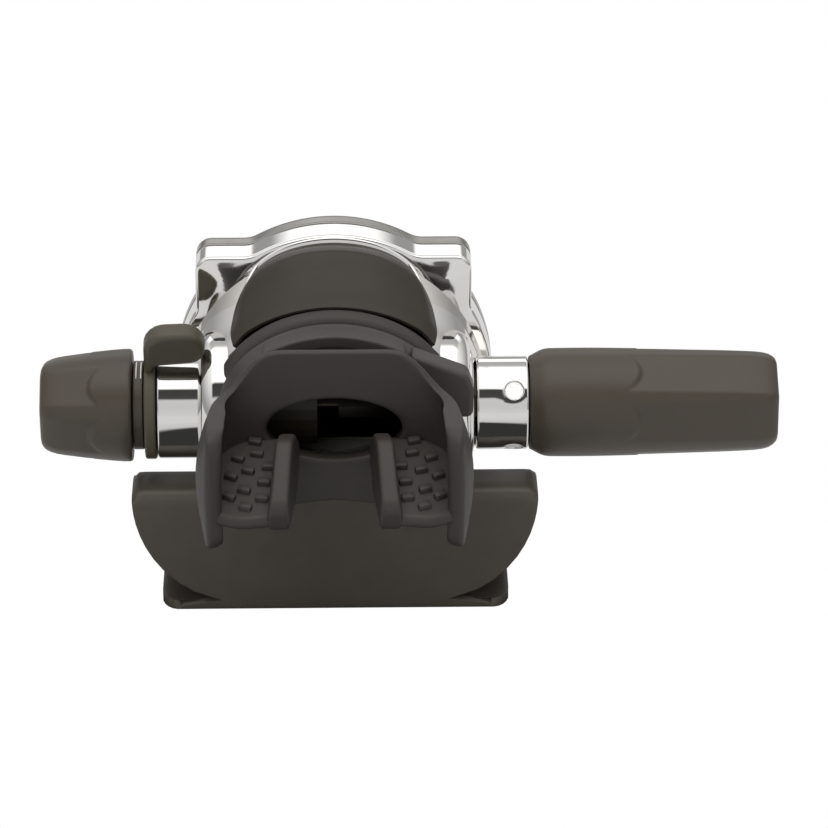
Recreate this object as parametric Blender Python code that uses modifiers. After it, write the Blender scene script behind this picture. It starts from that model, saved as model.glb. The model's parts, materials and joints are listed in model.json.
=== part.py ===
"""Scuba regulator second stage: a metal demand valve with its exhaust tee and mouthpiece.

+X points to the hose side, +Y to the purge cover, +Z up. The origin is on the flat
bottom of the exhaust tee, under the valve's axis. Shapes are given in millimetres, with
heights measured from the valve axis, and are scaled to metres as they are made.
"""

import math

import bmesh
import bpy
from mathutils import Matrix, Vector

MM = 0.001
GAP = 0.3  # between pieces that touch
AXIS_HEIGHT = 46.6  # valve axis above the tee's flat bottom

# Driving dimensions, in millimetres
COVER_RADIUS = 37.4
EAR_HALF_WIDTH = 32.3
EAR_TOP = 32.0
EAR_CORNER = 3.5
EAR_FILLET = 6.0
EAR_SCREW = (28.0, 27.7)
FLANGE_BACK = 12.0
FLANGE_FRONT = 20.3
COVER_FRONT = 28.7
PAD_FACE = 32.3
PAD_RADIUS = 12.6
SPOT_RADIUS = 11.7
BOSS_RADIUS = 12.5
BOSS_END = 41.1
BARREL_RADIUS = 8.0
BARREL_BORE = 6.3
BARREL_LEFT = -46.4
INLET_END = 57.0
INLET_RADIUS = 7.0
COLLAR_RADIUS = 10.9
COLLAR_HOLE = 2.25
SLEEVE_START = 45.4
SLEEVE_END = 103.3
SLEEVE_RADIUS = 12.7
SLEEVE_BORE = 6.5
KNOB_START = -47.0
KNOB_END = -68.4
KNOB_RADIUS = 13.15
KNOB_END_RADIUS = 11.2
BUTTON_RADIUS = 24.5
TEE_HALF_WIDTH = 47.3
TEE_TOP = -15.75
TEE_NEAR = -14.5
TEE_FAR = 18.6
TEE_WALL = 2.0
TEE_FLOOR = 2.8
BODY_WALL = 2.0
EXHAUST_CENTRE = (0.0, 3.0, -28.4)
EXHAUST_TILT = math.radians(45)
EXHAUST_TURN = (math.pi - EXHAUST_TILT, 0, 0)
EXHAUST_RADIUS = 12.5
SHIELD_PLANE = -31.0
SHIELD_WALL = 2.2
BITE_SLOPE = math.radians(17)

# Sections across Y: (y at the top, half width, top, bottom, how far the sides lie behind the top)
BODY = [
    (12.6, 35.8, 33.6, -35.8, 0),
    (8.0, 35.0, 31.8, -32.5, 0),
    (4.0, 34.0, 29.9, -29.2, 0),
    (0.0, 32.5, 28.0, -25.4, 0.3),
    (-3.0, 31.2, 26.6, -20.6, 2.0),
    (-6.0, 29.0, 25.1, -15.6, 4.8),
]
PORT = [
    (-4.0, 23.8, 24.6, -12.9, 0),
    (-6.0, 23.6, 24.2, -12.4, 0),
    (-14.0, 20.8, 20.8, -10.0, 0),
    (-19.0, 18.9, 18.4, -6.8, 0),
]
BOOT = [
    (-6.3, 25.1, 25.7, -13.7, 5.0),
    (-7.0, 25.9, 26.6, -14.8, 5.0),
    (-9.5, 25.5, 25.6, -14.6, 4.4),
    (-10.4, 24.5, 24.1, -13.2, 4.2),
    (-14.0, 23.4, 22.9, -12.4, 3.2),
    (-20.0, 21.4, 20.6, -9.2, 1.4),
    (-26.0, 19.2, 18.4, -4.2, 0),
    (-31.4, 18.6, 18.2, -2.9, 0),
]
BOOT_INSIDE = [
    (-5.8, 24.0, 24.5, -12.8, 0),
    (-14.0, 21.1, 21.1, -10.3, 0),
    (-19.3, 19.2, 18.7, -7.1, 0),
    (-19.6, 18.0, 17.4, -5.8, 0),
    (-26.0, 15.9, 15.7, -0.8, 0),
    (-34.0, 15.4, 15.2, 0.4, 0),
]


# ---------------------------------------------------------------- scene and materials
for old in list(bpy.data.objects):
    bpy.data.objects.remove(old)
for old in list(bpy.data.collections):
    bpy.data.collections.remove(old)
PARTS = bpy.data.collections.new("second_stage")
TOOLS = bpy.data.collections.new("cutters")
for collection in (PARTS, TOOLS):
    bpy.context.scene.collection.children.link(collection)


def finish(name, colour, roughness, metallic=0.0):
    """A Principled material of one colour."""
    made = bpy.data.materials.new(name)
    made.use_nodes = True
    shader = made.node_tree.nodes["Principled BSDF"]
    shader.inputs["Base Color"].default_value = (*colour, 1.0)
    shader.inputs["Roughness"].default_value = roughness
    shader.inputs["Metallic"].default_value = metallic
    return made


CHROME = finish("chrome", (0.74, 0.73, 0.72), 0.12, 1.0)
BRASS = finish("brass", (0.72, 0.55, 0.25), 0.3, 1.0)
STEEL = finish("steel", (0.62, 0.62, 0.62), 0.25, 1.0)
BLACK_PLASTIC = finish("black_plastic", (0.063, 0.055, 0.044), 0.5)
SOFT_BLACK = finish("soft_black", (0.046, 0.041, 0.040), 0.6)
NYLON = finish("nylon", (0.55, 0.55, 0.52), 0.5)
SEAL = finish("seal", (0.02, 0.02, 0.02), 0.6)
CLEAR_RUBBER = finish("clear_rubber", (0.5, 0.5, 0.48), 0.4)


# The exact solver loses the walls of these two, which take many cuts
THIN_WALLED = ("housing", "mouthpiece")


# ---------------------------------------------------------------- ways of making shapes
def keep(name, mesh, material, at=(0, 0, 0), turn=(0, 0, 0)):
    """Adds a mesh in millimetres as an object on the valve axis; no material means a cutter."""
    mesh.transform(Matrix.Scale(MM, 4))
    obj = bpy.data.objects.new(name, mesh)
    obj.location = Vector((at[0], at[1], at[2] + AXIS_HEIGHT)) * MM
    obj.rotation_euler = turn
    if material is None:
        obj.hide_render = True
        obj.display_type = "WIRE"
        TOOLS.objects.link(obj)
        return obj
    mesh.materials.append(material)
    mesh.shade_smooth()
    mesh.set_sharp_from_angle(angle=math.radians(35))
    PARTS.objects.link(obj)
    return obj


def mesh_of(shape):
    """The mesh of a bmesh, facing outwards."""
    bmesh.ops.recalc_face_normals(shape, faces=shape.faces)
    mesh = bpy.data.meshes.new("shape")
    shape.to_mesh(mesh)
    shape.free()
    return mesh


TURNS = {"X": (0, math.pi / 2, 0), "Y": (-math.pi / 2, 0, 0), "Z": (0, 0, 0)}


def turned(name, profile, material, axis="X", at=(0, 0, 0), turn=None, steps=20):
    """A turned piece. The profile lists (radius, place along the axis); off the axis it closes."""
    area = sum(a[0] * b[1] - b[0] * a[1] for a, b in zip(profile, profile[1:] + profile[:1]))
    ordered = profile if area < 0 else profile[::-1]
    shape = bmesh.new()
    points = [shape.verts.new((radius, 0, along)) for radius, along in ordered]
    for a, b in zip(points, points[1:]):
        shape.edges.new((a, b))
    if profile[0][0] > 0 and profile[-1][0] > 0:
        shape.edges.new((points[-1], points[0]))
    mesh = bpy.data.meshes.new(name)
    shape.to_mesh(mesh)
    shape.free()
    obj = keep(name, mesh, material, at, TURNS[axis] if turn is None else turn)
    screw = obj.modifiers.new("turned", "SCREW")
    screw.steps = steps
    screw.render_steps = steps
    screw.use_merge_vertices = True
    screw.merge_threshold = 0.000001
    return obj


def rounded(corners, segments=2):
    """An outline whose corners (u, v, radius) are rounded by arcs."""
    outline = []
    for i, (u, v, radius) in enumerate(corners):
        here = Vector((u, v))
        back = (Vector(corners[i - 1][:2]) - here).normalized()
        ahead = (Vector(corners[(i + 1) % len(corners)][:2]) - here).normalized()
        if radius == 0:
            outline.append((u, v))
            continue
        half = math.acos(max(-1, min(1, back.dot(ahead)))) / 2
        centre = here + (back + ahead).normalized() * (radius / math.sin(half))
        first = here + back * (radius / math.tan(half)) - centre
        last = here + ahead * (radius / math.tan(half)) - centre
        for step in range(segments + 1):
            arm = first.lerp(last, step / segments).normalized() * radius
            outline.append(tuple(centre + arm))
    return outline


def prism(
    name, outline, low, high, material, axis="Y", at=(0, 0, 0), turn=(0, 0, 0), soften=0, segments=1
):
    """A flat outline pushed from low to high along an axis. Its two coordinates are the others."""
    place = {
        "X": lambda u, v, w: (w, u, v),
        "Y": lambda u, v, w: (u, w, v),
        "Z": lambda u, v, w: (u, v, w),
    }[axis]
    shape = bmesh.new()
    face = shape.faces.new([shape.verts.new(place(u, v, low)) for u, v in outline])
    pushed = bmesh.ops.extrude_face_region(shape, geom=[face])["geom"]
    moved = [item for item in pushed if isinstance(item, bmesh.types.BMVert)]
    bmesh.ops.translate(shape, verts=moved, vec=place(0, 0, high - low))
    obj = keep(name, mesh_of(shape), material, at, turn)
    if soften:
        bevel = obj.modifiers.new("soft edge", "BEVEL")
        bevel.width = soften * MM
        bevel.segments = segments
        bevel.limit_method = "ANGLE"
        bevel.angle_limit = math.radians(50)
    return obj


def box(name, low, high, material=None, at=(0, 0, 0), turn=(0, 0, 0)):
    """A box between two corners."""
    shape = bmesh.new()
    size = [b - a for a, b in zip(low, high)]
    middle = [(a + b) / 2 for a, b in zip(low, high)]
    place = Matrix.Translation(middle) @ Matrix.Diagonal((*size, 1))
    bmesh.ops.create_cube(shape, size=1, matrix=place)
    return keep(name, mesh_of(shape), material, at, turn)


def around(section, angle, grow=0.0):
    """The point of a section at an angle, counted from +X towards +Z."""
    y, half_width, top, bottom, set_back = section
    height = (top + bottom) / 2 + ((top - bottom) / 2 + grow) * math.sin(angle)
    return ((half_width + grow) * math.cos(angle), y - set_back * (1 - max(0, math.sin(angle))), height)


def oval(section, grow=0.0, count=28):
    """One ring of points across the Y axis."""
    return [around(section, 2 * math.pi * step / count, grow) for step in range(count)]


def between(sections, y):
    """The section at a place between the given ones."""
    for far, near in zip(sections, sections[1:]):
        if near[0] <= y <= far[0]:
            share = (far[0] - y) / (far[0] - near[0])
            return tuple(a + (b - a) * share for a, b in zip(far, near))
    return sections[0] if y > sections[0][0] else sections[-1]


def loft(name, rings, material, ring_shaped=False):
    """A skin through rings of equal count, closed by end faces or, if ring_shaped, onto itself."""
    shape = bmesh.new()
    rows = [[shape.verts.new(point) for point in ring] for ring in rings]
    pairs = list(zip(rows, rows[1:]))
    if ring_shaped:
        pairs.append((rows[-1], rows[0]))
    count = len(rows[0])
    for near, far in pairs:
        for i in range(count):
            j = (i + 1) % count
            shape.faces.new((near[i], near[j], far[j], far[i]))
    if not ring_shaped:
        shape.faces.new(rows[0])
        shape.faces.new(rows[-1])
    return keep(name, mesh_of(shape), material)


def combine(obj, other, operation):
    """Adds a Boolean modifier with another object, which stays live."""
    modifier = obj.modifiers.new(other.name, "BOOLEAN")
    modifier.operation = operation
    modifier.object = other
    modifier.solver = "MANIFOLD" if obj.name in THIN_WALLED else "EXACT"
    return obj


def join(obj, *others):
    for other in others:
        combine(obj, other, "UNION")


def cut(obj, *others):
    for other in others:
        combine(obj, other, "DIFFERENCE")


def coil(name, radius_of, wire, start, end, turns, axis_place, material, per_turn=8):
    """A spring of round wire as one tube. radius_of gives its radius for a share of its length."""
    curve = bpy.data.curves.new(name, "CURVE")
    curve.dimensions = "3D"
    curve.bevel_depth = wire / 2 * MM
    curve.bevel_resolution = 1
    curve.use_fill_caps = True
    count = int(turns * per_turn) + 1
    line = curve.splines.new("POLY")
    line.points.add(count - 1)
    places = []
    for i in range(count):
        share = i / (count - 1)
        angle = 2 * math.pi * turns * share
        radius = radius_of(share)
        along = start + (end - start) * share
        places.append(Vector(axis_place(along, radius * math.cos(angle), radius * math.sin(angle))))
        line.points[i].co = (*(places[-1] * MM), 1)
    gaps = [
        (a - b).length - wire
        for i, a in enumerate(places)
        for b in places[i + per_turn // 2 :]
    ]
    print(f"{name}: least gap between turns {min(gaps):.2f} mm")
    curve.materials.append(material)
    obj = bpy.data.objects.new(name, curve)
    obj.location = (0, 0, AXIS_HEIGHT * MM)
    PARTS.objects.link(obj)
    return obj


# ---------------------------------------------------------------- housing and front cover
def cover_outline(grow=0.0):
    """The round flange with its two upper ears, as (x, z)."""
    radius = COVER_RADIUS + grow
    side = EAR_HALF_WIDTH + grow
    top = EAR_TOP + grow
    low = -math.pi / 2
    meet = math.acos(side / radius)
    right = []
    for step in range(11):
        angle = low + (meet - low) * step / 10
        right.append((radius * math.cos(angle), radius * math.sin(angle)))
    for step in range(4):
        angle = math.pi / 2 * step / 3
        corner_x = side - EAR_CORNER + EAR_CORNER * math.cos(angle)
        right.append((corner_x, top - EAR_CORNER + EAR_CORNER * math.sin(angle)))
    # The ear runs into the round rim through a hollow arc that touches both.
    arc_z = top + EAR_FILLET
    arc_x = math.sqrt((radius + EAR_FILLET) ** 2 - arc_z**2)
    first = math.atan2(arc_z, arc_x)
    for step in range(4):
        angle = -math.pi / 2 + (first - math.pi / 2) * step / 3
        right.append((arc_x + EAR_FILLET * math.cos(angle), arc_z + EAR_FILLET * math.sin(angle)))
    for step in range(1, 4):
        angle = first + (math.pi / 2 - first) * step / 3
        right.append((radius * math.cos(angle), radius * math.sin(angle)))
    left = [(-x, z) for x, z in right[-2:0:-1]]
    return right + left


def on_exhaust(name, profile, material=None, steps=20):
    """A turned piece on the axis of the exhaust port, which leaves the bowl down and forward."""
    return turned(name, profile, material, at=EXHAUST_CENTRE, turn=EXHAUST_TURN, steps=steps)


def make_housing():
    housing = loft("housing", [oval(section) for section in BODY], CHROME)
    flange = prism("flange", cover_outline(), FLANGE_BACK, FLANGE_FRONT, None, soften=1.2)
    port = loft("port", [oval(section) for section in PORT], None)
    exhaust = on_exhaust("exhaust_stub", [(0, -5), (EXHAUST_RADIUS, -5), (EXHAUST_RADIUS, 3), (0, 3)])
    join(housing, flange, port, exhaust)

    back = between(BODY, BODY[-1][0] + BODY_WALL)
    hollow = loft("hollow", [oval(section, -BODY_WALL) for section in [*BODY[:-1], back]], None)
    mouth = (-20.0, 18.5, 18.0, -6.4, 0)
    inside = [(-2.0, 24.2, 25.0, -13.2, 0), *PORT[1:-1], mouth]
    port_bore = loft("port_bore", [oval(section, -BODY_WALL) for section in inside], None)
    front_bore = turned("front_bore", [(0, 11.5), (31.4, 11.5), (31.4, 17.5), (0, 17.5)], None, "Y", steps=36)
    seat = turned("rim_seat", [(0, 17.2), (35.2, 17.2), (35.2, 21), (0, 21)], None, "Y", steps=36)
    bores = [
        turned("bore_right", [(0, 15), (BARREL_RADIUS + 0.4, 15), (BARREL_RADIUS + 0.4, 40), (0, 40)], None),
        turned("bore_left", [(0, -3), (9.7, -3), (9.7, -44), (0, -44)], None),
        on_exhaust("exhaust_bore", [(0, -8), (10.2, -8), (10.2, 0), (0, 0)]),
        on_exhaust("flap_recess", [(0, 1.2), (11.1, 1.2), (11.1, 4), (0, 4)]),
        on_exhaust("stem_hole", [(0, -1), (1.5, -1), (1.5, 2), (0, 2)], steps=12),
    ]
    cut(housing, hollow, port_bore, front_bore, seat)
    # The valve passes through a thick pad in each side wall; the left pad carries a boss.
    inner = PAD_FACE - 3.2
    spot = SPOT_RADIUS
    for side, sign in (("right", 1), ("left", -1)):
        near, face, far = sign * inner, sign * PAD_FACE, sign * (PAD_FACE + 8)
        pad = turned(f"pad_{side}", [(0, near), (PAD_RADIUS, near), (PAD_RADIUS, face), (0, face)], None)
        join(housing, pad)
        cut(housing, turned(f"spot_face_{side}", [(0, face), (spot, face), (spot, far), (0, far)], None))
    root = 0.5 - PAD_FACE
    boss = [(0, root), (BOSS_RADIUS, root), (BOSS_RADIUS, -BOSS_END), (0, -BOSS_END)]
    join(housing, turned("boss", boss, None))
    cut(housing, *bores)
    frame = Matrix.Translation(EXHAUST_CENTRE) @ Matrix.Rotation(EXHAUST_TURN[0], 4, "X")
    for i in range(4):
        angle = math.pi / 2 * i
        middle = frame @ Vector((6.0 * math.cos(angle), 6.0 * math.sin(angle), 0))
        round_hole = [(0, -1), (3.2, -1), (3.2, 2), (0, 2)]
        cut(housing, turned(f"window_{i}", round_hole, None, at=tuple(middle), turn=EXHAUST_TURN, steps=12))
    for side, sign in (("left", -1), ("right", 1)):
        place = (sign * EAR_SCREW[0], 0, EAR_SCREW[1])
        thread = [(0, 14), (1.6, 14), (1.6, 22), (0, 22)]
        cut(housing, turned(f"thread_{side}", thread, None, "Y", at=place, steps=14))
    return housing


def make_front_cover():
    """The bezel: a rounded ring with ears, and inside it the spokes that carry the purge spring."""
    outline = cover_outline()
    levels = [(20.6, 0), (24.4, 0), (26.6, -1.0), (28.2, -3.2), (COVER_FRONT, -6.4)]

    def ring(level):
        y, grow = level
        scaled = []
        for x, z in outline:
            length = math.hypot(x, z)
            scaled.append((x * (length + grow) / length, y, z * (length + grow) / length))
        return scaled

    cover = loft("front_cover", [ring(level) for level in levels], CHROME)
    cavity = turned("cover_cavity", [(0, 20), (26.8, 20), (26.8, 27.1), (0, 27.1)], None, "Y", steps=36)
    mouth = turned("cover_mouth", [(0, 27), (24.9, 27), (24.9, 30), (0, 30)], None, "Y", steps=36)
    cut(cover, cavity, mouth)
    hub = turned("hub", [(3.2, 20.9), (9.6, 20.9), (9.6, 22.1), (3.2, 22.1)], None, "Y", steps=20)
    join(cover, hub)
    for i in range(3):
        turn = (0, math.radians(90 + 120 * i), 0)
        join(cover, box(f"spoke_{i}", (9.0, 20.9, -2), (28.5, 22.1, 2), turn=turn))
    for side, sign in (("left", -1), ("right", 1)):
        place = (sign * EAR_SCREW[0], 0, EAR_SCREW[1])
        seat = [(0, 20), (1.6, 20), (1.6, 25), (2.7, 25), (2.7, 31), (0, 31)]
        cut(cover, turned(f"screw_seat_{side}", seat, None, "Y", at=place, steps=16))
        make_screw(f"cover_screw_{side}", place)
    return cover


def make_screw(name, place):
    """A cap screw with a six-sided socket."""
    profile = [(0, 14.6), (1.25, 14.6), (1.25, 25.3), (2.35, 25.3), (2.35, 27.3), (0, 27.3)]
    screw = turned(name, profile, STEEL, "Y", at=place, steps=16)
    socket = [(0, 26.3), (1.2, 26.3), (1.2, 28), (0, 28)]
    cut(screw, turned(f"{name}_socket", socket, None, "Y", at=place, steps=6))


def make_badge_cover():
    """The bare saddle over the top of the bowl: a bent sheet that widens towards the mouthpiece."""
    rows, columns = 5, 15
    shape = bmesh.new()
    grid = []
    for i in range(rows):
        share = i / (rows - 1)
        section = between(BODY, 11.6 - 17.4 * share)
        reach = math.radians(27.4 + 16.4 * share**0.56)
        angles = [math.pi / 2 + reach * (1 - 2 * j / (columns - 1)) for j in range(columns)]
        grid.append([shape.verts.new(around(section, angle, GAP + 0.1)) for angle in angles])
    for near, far in zip(grid, grid[1:]):
        for j in range(columns - 1):
            shape.faces.new((near[j], near[j + 1], far[j + 1], far[j]))
    obj = keep("badge_cover", mesh_of(shape), BLACK_PLASTIC)
    wall = obj.modifiers.new("wall", "SOLIDIFY")
    wall.thickness = 1.4 * MM
    wall.offset = 1
    return obj


# ---------------------------------------------------------------- purge and diaphragm
def make_purge():
    button = turned(
        "purge_button",
        [
            (26.0, 26.1), (26.0, 26.9), (BUTTON_RADIUS, 26.9), (BUTTON_RADIUS, 29.0), (23.4, 30.2), (19, 31.0),
            (10, 31.7), (0, 31.9), (0, 17.8), (2.6, 17.8), (2.6, 30.1), (18, 29.3), (22.4, 26.1),
        ],
        SOFT_BLACK,
        "Y",
        steps=32,
    )
    coil(
        "purge_spring",
        lambda share: 8.6 - 3.4 * share,
        0.8,
        22.9,
        28.9,
        4,
        lambda along, a, b: (a, along, b),
        STEEL,
    )
    turned(
        "diaphragm",
        [
            (31.7, 17.5), (34.9, 17.5), (34.9, 19.2), (31.7, 19.2), (28.8, 17.5), (25.6, 19.2), (22.6, 19.2),
            (19.8, 17.4), (0, 17.4), (0, 16.6), (20.2, 16.6), (23.0, 18.4), (25.2, 18.4), (28.6, 16.7),
        ],
        CLEAR_RUBBER,
        "Y",
        steps=24,
    )
    turned("diaphragm_disc", [(0, 15.3), (19, 15.3), (19.4, 15.8), (19, 16.3), (0, 16.3)], NYLON, "Y", steps=24)
    turned("friction_ring", [(31.7, 19.5), (34.9, 19.5), (34.9, 20.3), (31.7, 20.3)], NYLON, "Y", steps=24)
    return button


# ---------------------------------------------------------------- valve on the X axis
def make_barrel():
    barrel = turned(
        "valve_barrel",
        [
            (BARREL_RADIUS, BARREL_LEFT), (BARREL_RADIUS, 46.0), (INLET_RADIUS, 46.0), (INLET_RADIUS, 56.2),
            (INLET_RADIUS - 0.8, INLET_END), (3.5, INLET_END), (3.5, 31.4), (BARREL_BORE, 31.4),
            (BARREL_BORE, BARREL_LEFT),
        ],
        CHROME,
    )
    lever_slot = box("lever_slot", (-17.2, 2.0, -4.7), (-11.4, 12, 4.7))
    outlet = box("outlet_slot", (-9, -12, -3.2), (1, -2, 3.2))
    cut(barrel, lever_slot, outlet)
    cone = [(5.9, 20.4), (5.9, 31.0), (2.2, 31.0), (2.2, 19.9), (3.0, 19.9), (3.6, 20.4)]
    turned("orifice", cone, BRASS, steps=18)
    turned(
        "poppet",
        [
            (0, -20.0), (2.2, -20.0), (2.2, -16.6), (6.0, -16.6), (6.0, -13.9), (2.2, -13.9), (2.2, 5.0),
            (5.4, 5.0), (5.4, 19.3), (4.0, 19.3), (4.0, 17.2), (0, 17.2),
        ],
        BRASS,
        steps=18,
    )
    turned("poppet_seat", [(0, 17.5), (3.7, 17.5), (3.7, 19.5), (0, 19.5)], SEAL, steps=16)
    coil("poppet_spring", lambda share: 4.3, 0.8, -29.2, -17.4, 6, lambda along, a, b: (along, a, b), STEEL)
    turned(
        "spring_seat",
        [(0, -32.7), (5.8, -32.7), (5.8, -30.0), (3.4, -30.0), (3.4, -27.5), (0, -27.5)],
        NYLON,
        steps=18,
    )
    turned(
        "adjusting_screw",
        [(0, -62.8), (3.2, -62.8), (3.2, -45.2), (5.9, -45.2), (5.9, -33.0), (0, -33.0)],
        NYLON,
        steps=18,
    )
    for name, place in (("barrel_oring_left", -45.5), ("barrel_oring_right", 33.6)):
        corners = [math.pi * i / 3 for i in range(6)]
        ring = [(8.8 + 0.45 * math.cos(t), place + 0.45 * math.sin(t)) for t in corners]
        turned(name, ring, SEAL, steps=16)


def make_lever():
    """The demand lever: a sloping arm with two feet that straddle the poppet's stem."""
    pivot_x, pivot_y = -13.0, 8.7
    under = [(-0.6, 0.0), (0.6, -0.1), (1.4, 0.9), (15.6, 5.0), (17.4, 5.3)]
    over = [(17.6, 6.0), (16.4, 6.3), (0.6, 1.8), (-0.6, 1.0)]
    lever = prism("demand_lever", under + over, -3.4, 3.4, STEEL, "Z", at=(pivot_x, pivot_y, 0))
    leg = [(-0.6, -5.5), (0.5, -5.5), (0.5, 0.6), (-0.6, 0.6)]
    for side, low, high in (("low", -4.2, -2.8), ("high", 2.8, 4.2)):
        join(lever, prism(f"foot_{side}", leg, low, high, None, "Z", at=(pivot_x, pivot_y, 0)))
    return lever


def make_inlet_side():
    collar = turned(
        "inlet_collar",
        [
            (9.6, 33.0), (COLLAR_RADIUS, 33.0), (COLLAR_RADIUS, 44.6), (COLLAR_RADIUS - 0.5, 45.1), (8.4, 45.1),
            (8.4, 34.4), (9.6, 34.4),
        ],
        CHROME,
        steps=28,
    )
    for i in range(4):
        turn = (math.radians(51 + 90 * i), 0, 0)
        hole = [(0, 8), (COLLAR_HOLE, 8), (COLLAR_HOLE, 13), (0, 13)]
        cut(collar, turned(f"spanner_hole_{i}", hole, None, at=(41.7, 0, 0), turn=turn, steps=12))
    sleeve = turned(
        "hose_sleeve",
        [
            (10.9, SLEEVE_START), (12.3, 48.2), (12.63, 49.8), (SLEEVE_RADIUS, 60), (SLEEVE_RADIUS, 98.4),
            (12.2, 101.6), (10.6, SLEEVE_END), (SLEEVE_BORE, SLEEVE_END), (SLEEVE_BORE, 76),
            (9.3, 72), (9.3, SLEEVE_START),
        ],
        SOFT_BLACK,
        steps=30,
    )
    six_sides(sleeve, "sleeve_flats", (45.0, 13.7), (105.0, 10.95), 31)


def six_sides(obj, name, first, last, ridge_angle):
    """Cuts a round piece by six flats. first and last are (place along X, distance from the axis)."""
    shape = bmesh.new()
    depth = abs(last[0] - first[0])
    across = math.cos(math.pi / 6)
    low, high = (first, last) if first[0] < last[0] else (last, first)
    bmesh.ops.create_cone(
        shape, cap_ends=True, segments=6, radius1=low[1] / across, radius2=high[1] / across, depth=depth
    )
    # The cone stands on local Z, which becomes X, and its first ridge on local X becomes -Z.
    flats = keep(name, mesh_of(shape), None, ((first[0] + last[0]) / 2, 0, 0))
    turn = Matrix.Rotation(math.radians(ridge_angle + 90), 4, "X") @ Matrix.Rotation(math.pi / 2, 4, "Y")
    flats.rotation_euler = turn.to_euler()
    combine(obj, flats, "INTERSECT")


def make_knob_side():
    knob = turned(
        "adjustment_knob",
        [
            (3.6, KNOB_START), (KNOB_RADIUS - 0.5, KNOB_START), (KNOB_RADIUS, -47.5), (KNOB_RADIUS, -48.8),
            (KNOB_END_RADIUS + 0.3, -64.6), (KNOB_END_RADIUS - 0.6, -67.0), (9.0, KNOB_END), (3.8, KNOB_END),
            (3.8, -66.1), (1.8, -66.1), (1.8, -64.4), (3.6, -64.4),
        ],
        BLACK_PLASTIC,
        steps=30,
    )
    six_sides(knob, "knob_flats", (-46.8, 13.9), (-68.8, 9.35), 45)
    screw = turned(
        "knob_screw",
        [(0, -64.8), (1.5, -64.8), (1.5, -66.4), (3.4, -66.4), (3.4, -68.0), (0, -68.0)],
        STEEL,
        steps=20,
    )
    socket = turned("knob_screw_socket", [(0, -67.0), (1.5, -67.0), (1.5, -69), (0, -69)], None, steps=6)
    cut(screw, socket)
    groove = [(8.4, -44.7), (9.6, -44.8), (9.6, -46.2), (8.4, -46.3)]
    neck = [(10.35, -46.7), (10.35, -44.4), (8.4, -44.4), *groove, (8.4, -46.7)]
    turned("index_ring", neck, BLACK_PLASTIC, steps=24)
    lever = turned(
        "venturi_lever",
        [(8.35, -44.1), (12.1, -44.1), (12.6, -43.6), (12.6, -41.9), (12.1, -41.4), (8.35, -41.4)],
        BLACK_PLASTIC,
        steps=28,
    )
    # The thumb tab: a thick rounded plate that stands off the collar and reaches over the boss.
    upper_edge = [(-44.0, 9.0, 0), (-44.0, 22.8, 4.4), (-29.8, 23.5, 4.6)]
    lower_edge = [(-29.8, 14.3, 3.4), (-41.3, 13.1, 0)]
    tab = prism(
        "tab",
        rounded(upper_edge + lower_edge),
        -2.6,
        2.6,
        None,
        "Y",
        turn=(math.radians(20), 0, 0),
        soften=1.6,
        segments=2,
    )
    join(lever, tab)
    profile = [(8.35, -40.8), (9.3, -40.8), (9.3, -4.0), (8.35, -4.0)]
    sleeve = turned("venturi_sleeve", profile, BLACK_PLASTIC, steps=24)
    cut(sleeve, box("vane_cut", (-20, -4.5, -12), (0, 12, 12)))
    turned("sleeve_oring", [(8.8, -41.25), (9.2, -41.25), (9.2, -41.05), (8.8, -41.05)], SEAL, steps=16)


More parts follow.
